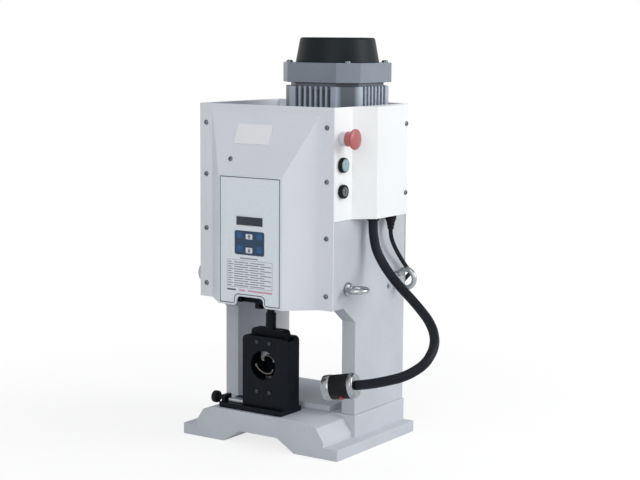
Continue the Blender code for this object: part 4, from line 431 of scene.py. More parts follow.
def mix_finishes(colours):
    """All the machine's finishes, by the maker's word for each."""
    FINISHES.update({
        "housing": powder_coat("housing_powder_coat", "light_grey_paint", colours.housing),
        "box": powder_coat("side_box_powder_coat", "white_paint", paint(250, 252, 252)),
        "casting": cast_paint("casting_paint", "light_grey_paint", colours.casting),
        # Painted light: the base and the rear table plate take the castings' paint lighter, though they wear the same
        # paint
        "base": cast_paint("base_paint_lightened", "light_grey_paint", shade(colours.casting, 1.06)),
        "table": cast_paint("table_paint_lightened", "light_grey_paint", shade(colours.casting, 1.02), 0.5, 420),
        "film": printed("front_film", "grey_film", colours.film, 0.34),
        "line": printed("film_border_line", "grey_film", paint(84, 89, 104)),
        "bars": printed("film_table_print", "grey_film", paint(142, 145, 162)),
        "red bars": printed("film_note_print", "grey_film", paint(214, 160, 178)),
        "keypad": printed("keypad_ground", "grey_film", colours.keypad, 0.3),
        "blue key": printed("keypad_blue_keys", "grey_film", paint(38, 92, 142), 0.3),
        "white key": printed("keypad_white_keys", "grey_film", paint(226, 230, 236), 0.3),
        "badge": printed("bare_badge", "blank_label", paint(250, 252, 255), 0.3),
        "glass": moulded("display_glass", "display_glass", paint(50, 55, 67), 0.2, 1500, 1.1, 0.15, 0.25),
        "zinc": bright_metal("zinc_plate", "zinc_plate", paint(172, 178, 180), 0.26, 0.3),
        "screw": bright_metal("dark_screws", "zinc_plate", paint(120, 124, 134), 0.34, 0.35),
        "oxide": oxide_steel("blackened_steel", "black_oxide", colours.die),
        "ground": worked_steel("ground_steel", "ground_steel", paint(182, 186, 190), 0.26, (0.05, 1, 1)),
        "turned": worked_steel("turned_steel", "ground_steel", paint(176, 180, 184), 0.24, (1, 1, 0.08)),
        "tool": worked_steel("tool_steel", "ground_steel", paint(132, 136, 142), 0.26, (1, 1, 0.1)),
        "spring": bright_metal("spring_steel", "ground_steel", paint(112, 106, 104), 0.24, 0.35),
        "die screw": bright_metal("die_screws", "black_oxide", paint(74, 78, 84), 0.34, 0.35),
        "bronze": worked_steel("bearing_bronze", "bronze", paint(176, 134, 84), 0.3, (1, 0.08, 1)),
        "brass": bright_metal("plug_brass", "bronze", paint(178, 158, 116), 0.26, 0.25),
        "iron": cast_paint("grey_iron", "grey_iron", paint(120, 124, 128), 0.55, 300),
        # Painted light and shade: the fins take the motor's colour lighter and the end plate takes it darker
        "motor": finned_paint("motor_fin_paint_lit_and_shaded", "motor_alloy", shade(colours.motor, 1.6)),
        "motor plate": cast_paint("motor_plate_paint_shaded", "motor_alloy", shade(colours.motor, 0.86), 0.3, 300),
        "gear case": cast_paint("gear_case_paint", "motor_alloy", colours.motor, 0.4, 300),
        "fan cover": moulded("fan_cover_paint", "black_plastic", paint(24, 30, 33), 0.42, 700, 1.3, shine=0.14),
        "black": moulded("black_plastic", "black_plastic", paint(15, 18, 20), 0.4, 1200, 1.4, shine=0.14),
        "knob": moulded("knob_plastic", "black_plastic", paint(22, 23, 27), 0.36, 1200, 1.4, shine=0.2),
        "collar": moulded("collar_plastic", "grey_plastic", paint(206, 208, 212), 0.36),
        "grey": moulded("grey_plastic", "grey_plastic", paint(104, 108, 114), 0.4),
        "red": moulded("red_plastic", "red_plastic", colours.stop_button, 0.3, 1300, 1.08, 0.25),
        "lamp red": moulded("lamp_button_plastic", "red_plastic", paint(150, 34, 50), 0.3, 1300, 1.1, 0.2),
        "teal": moulded("start_cap_plastic", "green_lens", colours.start_button, 0.22, 1500, 1.05, 0.5),
        "rubber": moulded("lead_rubber", "black_rubber", paint(24, 25, 28), 0.55, 800, 1.5, shine=0.15),
        "hose": moulded("hose_sleeve", "black_rubber", colours.hose, 0.46, 620, 1.25, shine=0.14),
        "chrome": bright_metal("chrome_plate", "zinc_plate", paint(160, 166, 169), 0.14, 0.3),
        "lens": clear_glass("lamp_lens_glass", "clear_lens", paint(235, 240, 244)),
        "board": printed("circuit_board", "green_board", paint(38, 92, 60), 0.4),
    })


def place(bm, spot, aim=(0, 0, 1)):
    """Turn a shape made about Z towards aim and carry it to its spot, both as the machine has them."""
    turn = Vector((0, 0, 1)).rotation_difference(Vector(aim)).to_matrix().to_4x4()
    bmesh.ops.transform(bm, matrix=Matrix.Translation(at(*spot)) @ turn, verts=bm.verts)
    return bm


def turned(profile, steps, spot, aim=(0, 0, 1), ring=False):
    """A lathe piece from a profile of (radius, station) in millimetres.

    The profile starts and ends on the axis, or closes on itself when the piece is a ring.
    """
    bm = bmesh.new()
    points = [bm.verts.new((radius * MM, 0, station * MM)) for radius, station in profile]
    pairs = list(zip(points, points[1:])) + ([(points[-1], points[0])] if ring else [])
    edges = [bm.edges.new(pair) for pair in pairs]
    bmesh.ops.spin(
        bm, geom=points + edges, axis=(0, 0, 1), cent=(0, 0, 0), angle=FULL_TURN, steps=steps, use_merge=True
    )
    bmesh.ops.remove_doubles(bm, verts=bm.verts, dist=0.001 * MM)
    bmesh.ops.recalc_face_normals(bm, faces=bm.faces)
    return place(bm, spot, aim)


def brick(bm, low, high):
    """A plain block between two corners of the machine, added to a mesh."""
    low, high = at(*low), at(*high)
    size = high - low
    made = bmesh.ops.create_cube(bm, size=1, matrix=Matrix.Translation((low + high) / 2) @ Matrix.Diagonal((*size, 1)))
    return made["verts"]


def slab(outline, front, back):
    """An upright plate that faces the front, from its outline of (x, z) corners."""
    bm = bmesh.new()
    face = bm.faces.new([bm.verts.new(at(x, front, z)) for x, z in outline])
    grown = bmesh.ops.extrude_face_region(bm, geom=[face])
    moved = [v for v in grown["geom"] if isinstance(v, bmesh.types.BMVert)]
    bmesh.ops.translate(bm, verts=moved, vec=(0, (back - front) * MM, 0))
    bmesh.ops.recalc_face_normals(bm, faces=bm.faces)
    return bm


def joined(bm, other):
    """Add one shape to another, and clear the added one away."""
    part = bpy.data.meshes.new("part")
    other.to_mesh(part)
    other.free()
    bm.from_mesh(part)
    bpy.data.meshes.remove(part)


def edges_of(bm, verts):
    """The edges of a mesh whose two ends are among these corners."""
    return [e for e in bm.edges if e.verts[0] in verts and e.verts[1] in verts]


def edges_along(edges, axis):
    """Those of the edges that run along an axis."""
    return [e for e in edges if abs((e.verts[0].co - e.verts[1].co).normalized()[axis]) > 0.999]


def sharp_edges(bm, fold, shortest=0.0):
    """The edges of a mesh that fold by more than an angle in degrees, but for short ones."""
    return [
        edge for edge in bm.edges
        if len(edge.link_faces) == 2
        and math.degrees(edge.calc_face_angle(0)) > fold
        and edge.calc_length() > shortest
    ]


def rounded(bm, edges, radius, segments=3):
    """Round edges over."""
    bmesh.ops.bevel(
        bm, geom=edges, offset=radius, segments=segments, profile=0.5, affect="EDGES", clamp_overlap=True, material=-1
    )


def dressed(name, data, finish, nodes):
    """An object with its finish, on the body of the parts of the frame that it stands for, or else the machine's."""
    data.materials.append(FINISHES[finish].material)
    obj = bpy.data.objects.new(name, data)
    bpy.context.scene.collection.objects.link(obj)
    body = body_of(frame["nodes"][nodes[0]])[0] if nodes else "machine"
    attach(obj, body)
    if nodes:
        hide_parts(*nodes)
    return obj


def finished(name, bm, finish, *nodes):
    """A shape made into a piece, smooth but for its creases, which may stand for parts of the frame."""
    mesh = bpy.data.meshes.new(name)
    bm.to_mesh(mesh)
    bm.free()
    mesh.polygons.foreach_set("use_smooth", [True] * len(mesh.polygons))
    mesh.set_sharp_from_angle(angle=CREASE)
    return dressed(name, mesh, finish, nodes)


def softened(node, finish, radius, fold=40, segments=2, joint=None):
    """A copy of a part of the frame with its long edges rounded over, which stands for it.

    An edge whose two ends pass the test of a joint stays sharp, so that the joint stays tight.
    """
    bm = bmesh.new()
    bm.from_mesh(frame["nodes"][node].data)
    bmesh.ops.remove_doubles(bm, verts=bm.verts, dist=0.01 * MM)
    bmesh.ops.dissolve_limit(bm, angle_limit=math.radians(0.6), verts=bm.verts, edges=bm.edges)
    edges = sharp_edges(bm, fold, 2.5 * radius)
    if joint:
        edges = [e for e in edges if not all(joint((v.co - COVER_FACE) / MM) for v in e.verts)]
    rounded(bm, edges, radius, segments)
    # A rounding that meets its neighbour leaves corners on top of each other
    bmesh.ops.remove_doubles(bm, verts=bm.verts, dist=0.012 * MM)
    bmesh.ops.dissolve_degenerate(bm, edges=bm.edges, dist=0.002 * MM)
    piece = finished(f"{node}_finish", bm, finish, node)
    shading = piece.modifiers.new("even_shading", "WEIGHTED_NORMAL")
    shading.keep_sharp = True


def painted(finish, *nodes):
    """Parts of the frame that keep their shape and get a finish."""
    for node in nodes:
        for material_slot in frame["nodes"][node].material_slots:
            material_slot.material = FINISHES[finish].material


def carved(piece, *cutters):
    """Cut shapes out of a piece, clear the cutters away and mark the new creases."""
    for bm in cutters:
        mesh = bpy.data.meshes.new("cutter")
        bm.to_mesh(mesh)
        bm.free()
        cutter = bpy.data.objects.new("cutter", mesh)
        bpy.context.scene.collection.objects.link(cutter)
        cut = piece.modifiers.new("cut", "BOOLEAN")
        cut.operation = "DIFFERENCE"
        cut.solver = "EXACT"
        cut.object = cutter
        graph = bpy.context.evaluated_depsgraph_get()
        whole = bpy.data.meshes.new_from_object(piece.evaluated_get(graph))
        piece.modifiers.clear()
        old = piece.data
        piece.data = whole
        whole.name = piece.name
        bpy.data.meshes.remove(old)
        bpy.data.objects.remove(cutter)
        bpy.data.meshes.remove(mesh)
    piece.data.set_sharp_from_angle(angle=CREASE)


def line_of(name, route, diameter, finish, *nodes):
    """A round bar along a smooth line, for the hose and the lead."""
    curve = bpy.data.curves.new(name, "CURVE")
    curve.dimensions = "3D"
    curve.resolution_u = curve.render_resolution_u = 8
    curve.bevel_depth = diameter / 2
    curve.bevel_resolution = 5
    curve.use_fill_caps = True
    spline = curve.splines.new("BEZIER")
    spline.bezier_points.add(len(route) - 1)
    for knot, spot in zip(spline.bezier_points, route):
        knot.co = at(*spot)
        knot.handle_left_type = knot.handle_right_type = "AUTO"
    return dressed(name, curve, finish, nodes)


def coil_route(coil_radius, pitch, turns):
    """The stored lead: two flat layers of turns, inwards on the bench and out again on top, then off to the plug."""
    middle_x, middle_y = COIL_PLACE
    inner = coil_radius - pitch * turns / 4
    outer = coil_radius + pitch * turns / 4
    low, high = pitch / 2 + 0.2, pitch * 1.5 + 0.25
    knots_per_turn, climbs_per_turn = 20, 3.6
    count = int(turns * knots_per_turn)
    route = []
    for step in range(1, count + 1):
        share = step / count
        angle = -FULL_TURN / 4 - share * turns * FULL_TURN
        radius = inner + (outer - inner) * abs(2 * share - 1)
        climb = min(1, max(0, (share - 0.5) * turns * climbs_per_turn + 0.5))
        height = low + (high - low) * climb * climb * (3 - 2 * climb)
        route.append((middle_x + radius * math.cos(angle), middle_y + radius * math.sin(angle), height))
    sweep = math.acos(1 - PLUG_SIDE_STEP / (outer + PLUG_BEND))
    for step in range(1, 4):
        angle = FULL_TURN / 4 - sweep * step / 3
        route.append((middle_x + outer * math.cos(angle), middle_y + outer * math.sin(angle), high))
    turn_x = middle_x + (outer + PLUG_BEND) * math.sin(sweep)
    turn_y = middle_y + (outer + PLUG_BEND) * math.cos(sweep)
    for step in range(1, 4):
        heading = -sweep * (1 - step / 3)
        route.append((
            turn_x + PLUG_BEND * math.sin(heading), turn_y - PLUG_BEND * math.cos(heading),
            high + (PLUG_HEIGHT - high) * step / 3,
        ))
    return route


def route_length(route):
    """The length of a route from knot to knot."""
    return sum((Vector(a) - Vector(b)).length for a, b in zip(route, route[1:]))


def set_camera(scene):
    """Stand the camera where the machine is seen from."""
    ahead = Vector((
        -math.sin(CAMERA_YAW) * math.cos(CAMERA_DIP), math.cos(CAMERA_YAW) * math.cos(CAMERA_DIP),
        -math.sin(CAMERA_DIP),
    ))
    side = Vector((math.cos(CAMERA_YAW), math.sin(CAMERA_YAW), 0))
    upward = side.cross(ahead)
    right = side * math.cos(CAMERA_ROLL) + upward * math.sin(CAMERA_ROLL)
    above = upward * math.cos(CAMERA_ROLL) - side * math.sin(CAMERA_ROLL)
    lens = bpy.data.cameras.new("camera")
    lens.sensor_fit = "HORIZONTAL"
    lens.sensor_width = SENSOR_WIDTH
    lens.lens = FOCAL_PIXELS * SENSOR_WIDTH / PICTURE_PIXELS
    lens.clip_start, lens.clip_end = 0.05, 50
    camera = bpy.data.objects.new("camera", lens)
    turn = Matrix((right, above, -ahead)).transposed().to_4x4()
    camera.matrix_world = Matrix.Translation(at(*CAMERA_SPOT)) @ turn
    scene.collection.objects.link(camera)
    scene.camera = camera


def set_lights(scene):
    """Hang the soft lights and aim them at the machine."""
    for name, spot, size, power in LIGHTS:
        light = bpy.data.lights.new(name, "AREA")
        light.shape = "SQUARE"
        light.size = size
        light.energy = power
        lamp = bpy.data.objects.new(name, light)
        aim = at(*LIGHT_TARGET) - at(*spot)
        lamp.matrix_world = Matrix.Translation(at(*spot)) @ aim.to_track_quat("-Z", "Y").to_matrix().to_4x4()
        scene.collection.objects.link(lamp)


def set_world(scene):
    """Fill the room: soft light on the surfaces, white to the camera, and in mirrors dark at the far end up high."""
    world = bpy.data.worlds.new("studio")
    scene.world = world
    world.use_nodes = True
    world.node_tree.nodes.clear()
    sky = Wiring(world.node_tree)
    aim = sky.node("ShaderNodeTexCoord").outputs["Generated"]
    away = (-math.sin(CAMERA_YAW), math.cos(CAMERA_YAW), 0)
    far = sky.level("ShaderNodeVectorMath", {"operation": "DOT_PRODUCT"}, {0: aim, 1: away}, "Value")
    high = Level(sky, sky.node("ShaderNodeSeparateXYZ", None, {0: aim}).outputs["Z"])
    dark = sky.rays("Glossy") * sky.ramp(high, 0.3, 0.6) * sky.ramp(far, -0.35, 0.1)
    soft = sky.node("ShaderNodeBackground", None, {"Color": (0.94, 0.96, 1), "Strength": 0.39})
    room = sky.node("ShaderNodeBackground", None, {"Color": sky.blend(dark, (1, 1, 1), (0.16, 0.17, 0.19))})
    seen = sky.rays("Camera", "Transmission", "Glossy")
    mix = sky.node("ShaderNodeMixShader", None, {0: seen, 1: soft.outputs[0], 2: room.outputs[0]})
    sky.node("ShaderNodeOutputWorld", None, {"Surface": mix.outputs[0]})


def lay_floor(scene):
    """Lay the floor: white and glowing to the camera and in mirrors, plain pale grey for the light it throws back."""
    bm = bmesh.new()
    bmesh.ops.create_grid(bm, x_segments=1, y_segments=1, size=FLOOR_REACH)
    bmesh.ops.translate(bm, verts=bm.verts, vec=(0, 0, CASTING_LOW.z - FLOOR_GAP))
    mesh = bpy.data.meshes.new("studio_floor")
    bm.to_mesh(mesh)
    bm.free()
    floor = bpy.data.objects.new("studio_floor", mesh)
    scene.collection.objects.link(floor)
    cover = Finish("studio_floor", "", roughness=0.9, specular_ior_level=0.1)
    seen = cover.rays("Camera", "Glossy", "Transmission")
    reach = cover.level("ShaderNodeVectorMath", {"operation": "LENGTH"}, {0: cover.spot}, "Value")
    # From 0.42 m out to 1 m the floor's own colour fades as its glow grows
    far = cover.ramp(reach, 0.42, 1.0)
    tone, glow = (cover.blend(far, (near,) * 3, (away,) * 3) for near, away in ((0.26, 0), (0.78, 1)))
    cover.feed("Base Color", cover.blend(seen, (0.66, 0.66, 0.67), tone))
    cover.feed("Emission Color", cover.blend(seen, (0, 0, 0), glow))
    cover.feed("Emission Strength", 1.0)
    mesh.materials.append(cover.material)


class CRIMPER_OT_stage(bpy.types.Operator):
    """Set the camera, the soft lights, the pale floor and the backdrop"""

    bl_idname = "crimper.stage"
    bl_label = "Studio"

    def execute(self, context):
        scene = context.scene
        scene.view_settings.view_transform = "Standard"
        set_camera(scene)
        set_lights(scene)
        set_world(scene)
        lay_floor(scene)
        return {"FINISHED"}


class CRIMPER_OT_mains_lead(bpy.types.Operator):
    """Run the mains lead from its gland, down behind the right frame, into its coil and plug"""

    bl_idname = "crimper.mains_lead"
    bl_label = "Mains lead"

    def execute(self, context):
        sizes = context.scene.crimper_sizes
        steps = sizes.lathe_steps // 2
        tip, top = CORD_EXIT[2] + CORD_GAP, GLAND_TOP
        gland = finished("gland_finish", turned([
            (0, tip), (4.3, tip), (4.6, tip + 0.6), (5.0, tip + 4), (4.6, tip + 4.4), (4.6, tip + 5.4),
            (5.5, tip + 5.8), (6.0, tip + 9), (5.5, tip + 9.4), (5.5, tip + 10.4), (6.5, tip + 10.8),
            (7.2, tip + 14), (8.4, tip + 15), (8.4, top - 0.6), (8.0, top), (0, top),
        ], steps, (CORD_EXIT[0], CORD_EXIT[1], 0)), "rubber", "cord_gland")

        diameter = sizes.cord_diameter / MM
        pitch = diameter * COIL_PITCH
        radius = sizes.coil_radius / MM
        # A few rounds bring the coil to the radius that uses up the lead's length
        for _ in range(6):
            route = [CORD_EXIT, *CORD_DROP] + coil_route(radius, pitch, sizes.coil_turns)
            radius += (sizes.cord_length / MM - route_length(route)) / (sizes.coil_turns * FULL_TURN)
        lead = line_of("mains_lead", route, sizes.cord_diameter, "rubber", "power_cord", "cord_coil")

        nose = Vector(route[-1])
        grip = turned([
            (0, 0), (4.2, 0), (4.6, 0.5), (4.6, 2.2), (4.1, 2.6), (4.1, 3.4), (5.0, 3.8), (5.0, 5.6), (4.5, 6),
            (4.5, 6.8), (5.6, 7.2), (5.6, 9), (5.2, 9.4), (5.2, 10.2), (6.6, 10.8), (6.6, 16), (0, 16),
        ], steps, nose + Vector((0.2, 0, 0)), (1, 0, 0))
        plug_body = brick(grip, nose + Vector((12, -13, -9.8)), nose + Vector((54, 13, 9.8)))
        # The end towards the lead is drawn in
        lead_end = [v for v in plug_body if v.co.x < at(*nose).x + 30 * MM]
        bmesh.ops.scale(grip, verts=lead_end, vec=(1, 0.56, 0.78), space=Matrix.Translation(-at(*nose)))
        rounded(grip, edges_of(grip, plug_body), 3 * MM, 4)
        plug = finished("plug_body", grip, "black", "plug")
        pins = bmesh.new()
        for side in (-1, 1):
            middle, half = nose + Vector((61.5, side * BLADE_OFFSET, 0)), Vector((9.5, 0.8, 3.15))
            verts = brick(pins, middle - half, middle + half)
            rounded(pins, edges_of(pins, verts), 0.35 * MM, 2)
        blades = finished("plug_blades", pins, "brass")
        return {"FINISHED"}


class CRIMPER_OT_housing(bpy.types.Operator):
    """Round the folds of the sheet metal housing, its side box and its front cover"""

    bl_idname = "crimper.housing"
    bl_label = "Housing"

    def execute(self, context):
        radius = context.scene.crimper_sizes.fold_radius * 0.5
        softened("housing_shell", "housing", radius)
        softened("side_box_cover", "box", radius)
        softened("front_cover", "housing", radius, fold=15)
        return {"FINISHED"}


class CRIMPER_OT_front_panel(bpy.types.Operator):
    """Lay the printed film, the display, the keypad and the bare badge on the front"""

    bl_idname = "crimper.front_panel"
    bl_label = "Front panel"

    def execute(self, context):
        sizes = context.scene.crimper_sizes
        low, high = extent("panel_film")
        front, back, half = low.y, high.y, high.x
        ink = sizes.print_thickness / MM
        outline = [
            (half, low.z), (half, high.z), (-half, high.z), (-half, low.z), (-NOTCH_HALF_WIDTH, low.z),
            (-NOTCH_HALF_WIDTH, NOTCH_TOP), (NOTCH_HALF_WIDTH, NOTCH_TOP), (NOTCH_HALF_WIDTH, low.z),
        ]

        def notched(outer, inner):
            """A sheet of the film's outline, with the corners of its notch rounded."""
            sheet = slab(outline, outer, inner)
            rounded(sheet, [
                e for e in edges_along(sheet.edges, 1)
                if abs(abs(e.verts[0].co.x - COVER_FACE.x) / MM - NOTCH_HALF_WIDTH) < 1
            ], 5 * MM, 5)
            return sheet

        def largest_face(bm):
            return max(bm.faces, key=lambda f: f.calc_area())

        finished("front_film", notched(front, back), "film", "panel_film")

        line = notched(front - ink, front)
        hidden = [f for f in line.faces if f.normal.y >= -0.9]
        bmesh.ops.delete(line, geom=hidden, context="FACES")
        for inset in (sizes.border_inset, sizes.border_width):
            middle = largest_face(line)
            bmesh.ops.delete(line, geom=[f for f in line.faces if f is not middle], context="FACES")
            bmesh.ops.inset_region(
                line, faces=line.faces[:], thickness=inset, use_even_offset=True, use_boundary=True
            )
        bmesh.ops.delete(line, geom=[largest_face(line)], context="FACES")
        bmesh.ops.solidify(line, geom=line.faces[:], thickness=-ink * MM * 0.95)
        bmesh.ops.recalc_face_normals(line, faces=line.faces)
        finished("film_border", line, "line")

        def marks(name, finish, height, boxes, corner=0.0):
            """Printed blocks that stand on the film, each with its left, bottom, right and top."""
            bm = bmesh.new()
            for left, bottom, right, top in boxes:
                verts = brick(bm, (left, front - height, bottom), (right, front, top))
                if corner:
                    rounded(bm, edges_along(edges_of(bm, verts), 1), corner * MM)
            return finished(name, bm, finish)

        marks("keypad", "keypad", 3 * ink, [(-27, 292.5, 26.5, 328)], 3)
        squares = [(x, z, x + 9.6, z + 8.6) for x in (-22.8, 13.2) for z in (297.4, 316.4)]
        marks("keypad_blue_keys", "blue key", 4 * ink, squares, 1)
        marks("keypad_white_keys", "white key", 4 * ink, [(-6.7, 295.6, 5.4, 303.6), (-6.7, 315.8, 5.4, 323.6)], 1)
        arrows = bmesh.new()
        arrow_front = front - 5 * ink
        for bottom, top in ((298.4, 302.4), (317, 321)):
            brick(arrows, (-1.6, arrow_front, bottom), (0.4, front, top))
        for tip, wide in ((296.6, 299), (322.8, 320.4)):
            joined(arrows, slab([(-0.6, tip), (-3.2, wide), (2, wide)], arrow_front, front))
        bmesh.ops.recalc_face_normals(arrows, faces=arrows.faces)
        finished("keypad_arrows", arrows, "line")

        rows = []
        first_row, row_pitch, row_height = 245.6, 3.45, 1.25
        for row in range(11):
            bottom = first_row + row * row_pitch
            spans = ((-39, -30), (-28, -11), (-9, 16), (19, 39)) if row % 2 else ((-39, -33), (-28, -2), (1, 27))
            rows += [(left, bottom, right, bottom + row_height) for left, right in spans]
        rules = [
            (-41, 283.9, 41, 284.4), (-41, 243.6, 41, 244.1), (-41, 243.6, -40.5, 284.4), (40.5, 243.6, 41, 284.4),
        ]
        title = [(-17, 286.4, 15, 288.2)]
        marks("film_table", "bars", ink, rows + rules + title)
        marks("film_note_start", "line", ink, [(-41, 238.3, -25, 240.6)])
        marks("film_note", "red bars", ink, [(-19, 238.3, -8, 240.6), (-3, 238.3, 41, 240.6)])

        pane = bmesh.new()
        brick(pane, *extent("display_window"))
        rounded(pane, sharp_edges(pane, 40), 0.12 * MM, 2)
        finished("display_pane", pane, "glass", "display_window")
        softened("badge_plate", "badge", 0.25 * MM)
        return {"FINISHED"}


class CRIMPER_OT_castings(bpy.types.Operator):
    """Finish the base, the two side frames, the head and the rear table plate"""

    bl_idname = "crimper.castings"
    bl_label = "Base and frames"

    def execute(self, context):
        radius = context.scene.crimper_sizes.edge_radius

        def under_frame(spot):
            return spot.z > BENCH_TO_FRAMES - 1 and abs(spot.x) > FRAME_FOOT_X

        def on_base(spot):
            return spot.z < BENCH_TO_FRAMES + 1

        softened("base_casting", "base", radius * 1.3, joint=under_frame)
        softened("left_side_frame", "casting", radius * 1.2, joint=on_base)
        softened("right_side_frame", "casting", radius * 1.2, joint=on_base)
        softened("head_block", "iron", radius)
        softened("rear_table_plate", "table", radius * 0.8)
        return {"FINISHED"}


class CRIMPER_OT_lifting_eyes(bpy.types.Operator):
    """Fit the four lifting eyes to the side frames"""

    bl_idname = "crimper.lifting_eyes"
    bl_label = "Lifting eyes"

    def execute(self, context):
        steps = context.scene.crimper_sizes.lathe_steps // 2
        ring_radius, bar_radius, ring_reach = 14, 4, 18
        for node, side, y, level in (
            ("front_right_lifting_eye", 1, 40, True), ("rear_right_lifting_eye", 1, 178, False),
            ("front_left_lifting_eye", -1, 40, False), ("rear_left_lifting_eye", -1, 178, False),
        ):
            eye = turned([
                (0, 0), (9.2, 0), (10, 0.8), (10, 2.6), (8.6, 4.2), (6.6, 5.6), (5.9, 7.6), (5.6, 9),
                (4.6, 9.8), (0, 9.8),
            ], steps, (side * EYE_FACE_X, y, EYE_HEIGHT), (side, 0, 0))
            ring = bmesh.new()
            made = bmesh.ops.create_circle(
                ring, segments=24, radius=bar_radius * MM,
                matrix=Matrix.Translation((ring_radius * MM, 0, 0)) @ Matrix.Rotation(FULL_TURN / 4, 4, "X"),
            )
            bmesh.ops.spin(
                ring, geom=made["verts"] + ring.edges[:], axis=(0, 0, 1), cent=(0, 0, 0),
                angle=FULL_TURN, steps=steps, use_merge=True,
            )
            bmesh.ops.remove_doubles(ring, verts=ring.verts, dist=0.001 * MM)
            bmesh.ops.recalc_face_normals(ring, faces=ring.faces)
            place(ring, (side * (EYE_FACE_X + ring_reach), y, EYE_HEIGHT), (0, 0, 1) if level else (0, 1, 0))
            joined(eye, ring)
            finished(f"{node}_finish", eye, "zinc", node)
        return {"FINISHED"}


def screws(name, spots, aim, size, finish="screw", first=1):
    """Button-head screws with round sockets, numbered in order, each head on the surface at its spot."""
    head, height, shank, depth, socket = size
    profile = [
        (0, height * 0.35), (socket, height * 0.35), (socket, height * 0.98), (head * 0.62, height),
        (head * 0.88, height * 0.72), (head, height * 0.25), (head, 0.05), (shank, 0.05), (shank, -depth), (0, -depth),
    ]
    for number, spot in enumerate(spots, first):
        finished(f"{name}_{number}", turned(profile, 24, spot, aim), finish)


class CRIMPER_OT_screws(bpy.types.Operator):
    """Drive the screws of the covers, the side box, the motor and the die set"""

    bl_idname = "crimper.screws"
    bl_label = "Screws"

    def execute(self, context):
        flange = [(side * FLANGE_SCREW_X, z) for side in (-1, 1) for z in FLANGE_SCREW_HEIGHTS]
        rear = extent("housing_shell")[1].y
        screws("cover_screw", [(x, 0, z) for x, z in flange], (0, -1, 0), COVER_SCREW)
        screws("rear_screw", [(x, rear, z) for x, z in flange], (0, 1, 0), COVER_SCREW)
        x, z = SLOPE_SCREW
        run = (SLOPE_TOP - PANEL_TOP) / PANEL_DEPTH
        screws("cover_screw", [(x, (z - SLOPE_TOP) / run, z)], (0, -run, 1), COVER_SCREW, first=9)
        screws("side_box_screw", [(BOX_FACE_X, BOX_SCREW_Y, z) for z in BOX_SCREW_HEIGHTS], (1, 0, 0), BOX_SCREW)
        corners = [
            (MOTOR_AXIS[0] + x * MOTOR_SCREW_OFFSET, MOTOR_AXIS[1] + y * MOTOR_SCREW_OFFSET, MOTOR_TOP)
            for y in (-1, 1) for x in (-1, 1)
        ]
        screws("motor_screw", corners, (0, 0, 1), MOTOR_SCREW)
        screws("die_screw", [(x, DIE_FRONT, z) for x, z in DIE_SCREWS], (0, -1, 0), DIE_SCREW, "die screw")
        return {"FINISHED"}


class CRIMPER_OT_motor(bpy.types.Operator):
    """Finish the motor: finned body, end plate and slotted fan cover"""

    bl_idname = "crimper.motor"
    bl_label = "Motor"

    def execute(self, context):
        sizes = context.scene.crimper_sizes
        softened("motor_body", "motor", sizes.edge_radius * 0.7)
        softened("motor_end_plate", "motor plate", sizes.edge_radius * 1.6, segments=3)
        top, foot = FAN_COVER_HEIGHT, (*MOTOR_AXIS, FAN_COVER_FOOT)
        cover = finished("fan_cover_finish", turned([
            (60.8, 0), (54.9, 33), (53.6, top - 2.4), (0, top - 2.2), (0, top), (52.6, top), (54.4, top - 0.3),
            (55.9, top - 1.2), (56.8, top - 2.8), (57.2, top - 5), (62.7, 2.4), (63, 0.4), (62.8, 0),
        ], sizes.lathe_steps, foot, ring=True), "fan cover", "fan_cover")
        slots = []
        slot_count, slot_middle, slot_size = 20, 30.5, (33, 3.6, 9)
        for number in range(slot_count):
            bm = bmesh.new()
            bmesh.ops.create_cube(bm, size=MM, matrix=(
                Matrix.Translation((slot_middle * MM, 0, top * MM)) @ Matrix.Diagonal((*slot_size, 1))
            ))
            rounded(bm, edges_along(bm.edges, 2), 1.7 * MM)
            bmesh.ops.rotate(bm, verts=bm.verts, matrix=Matrix.Rotation(FULL_TURN * number / slot_count, 3, "Z"))
            slots.append(place(bm, foot))
        carved(cover, *slots)
        painted("black", "cooling_fan")
        painted("turned", "motor_shaft")
        return {"FINISHED"}


def wall_reach(node):
    """Where a part of the frame starts and ends, as stations outward from the right wall in mm."""
    return [corner.x - WALL_X for corner in extent(node)]


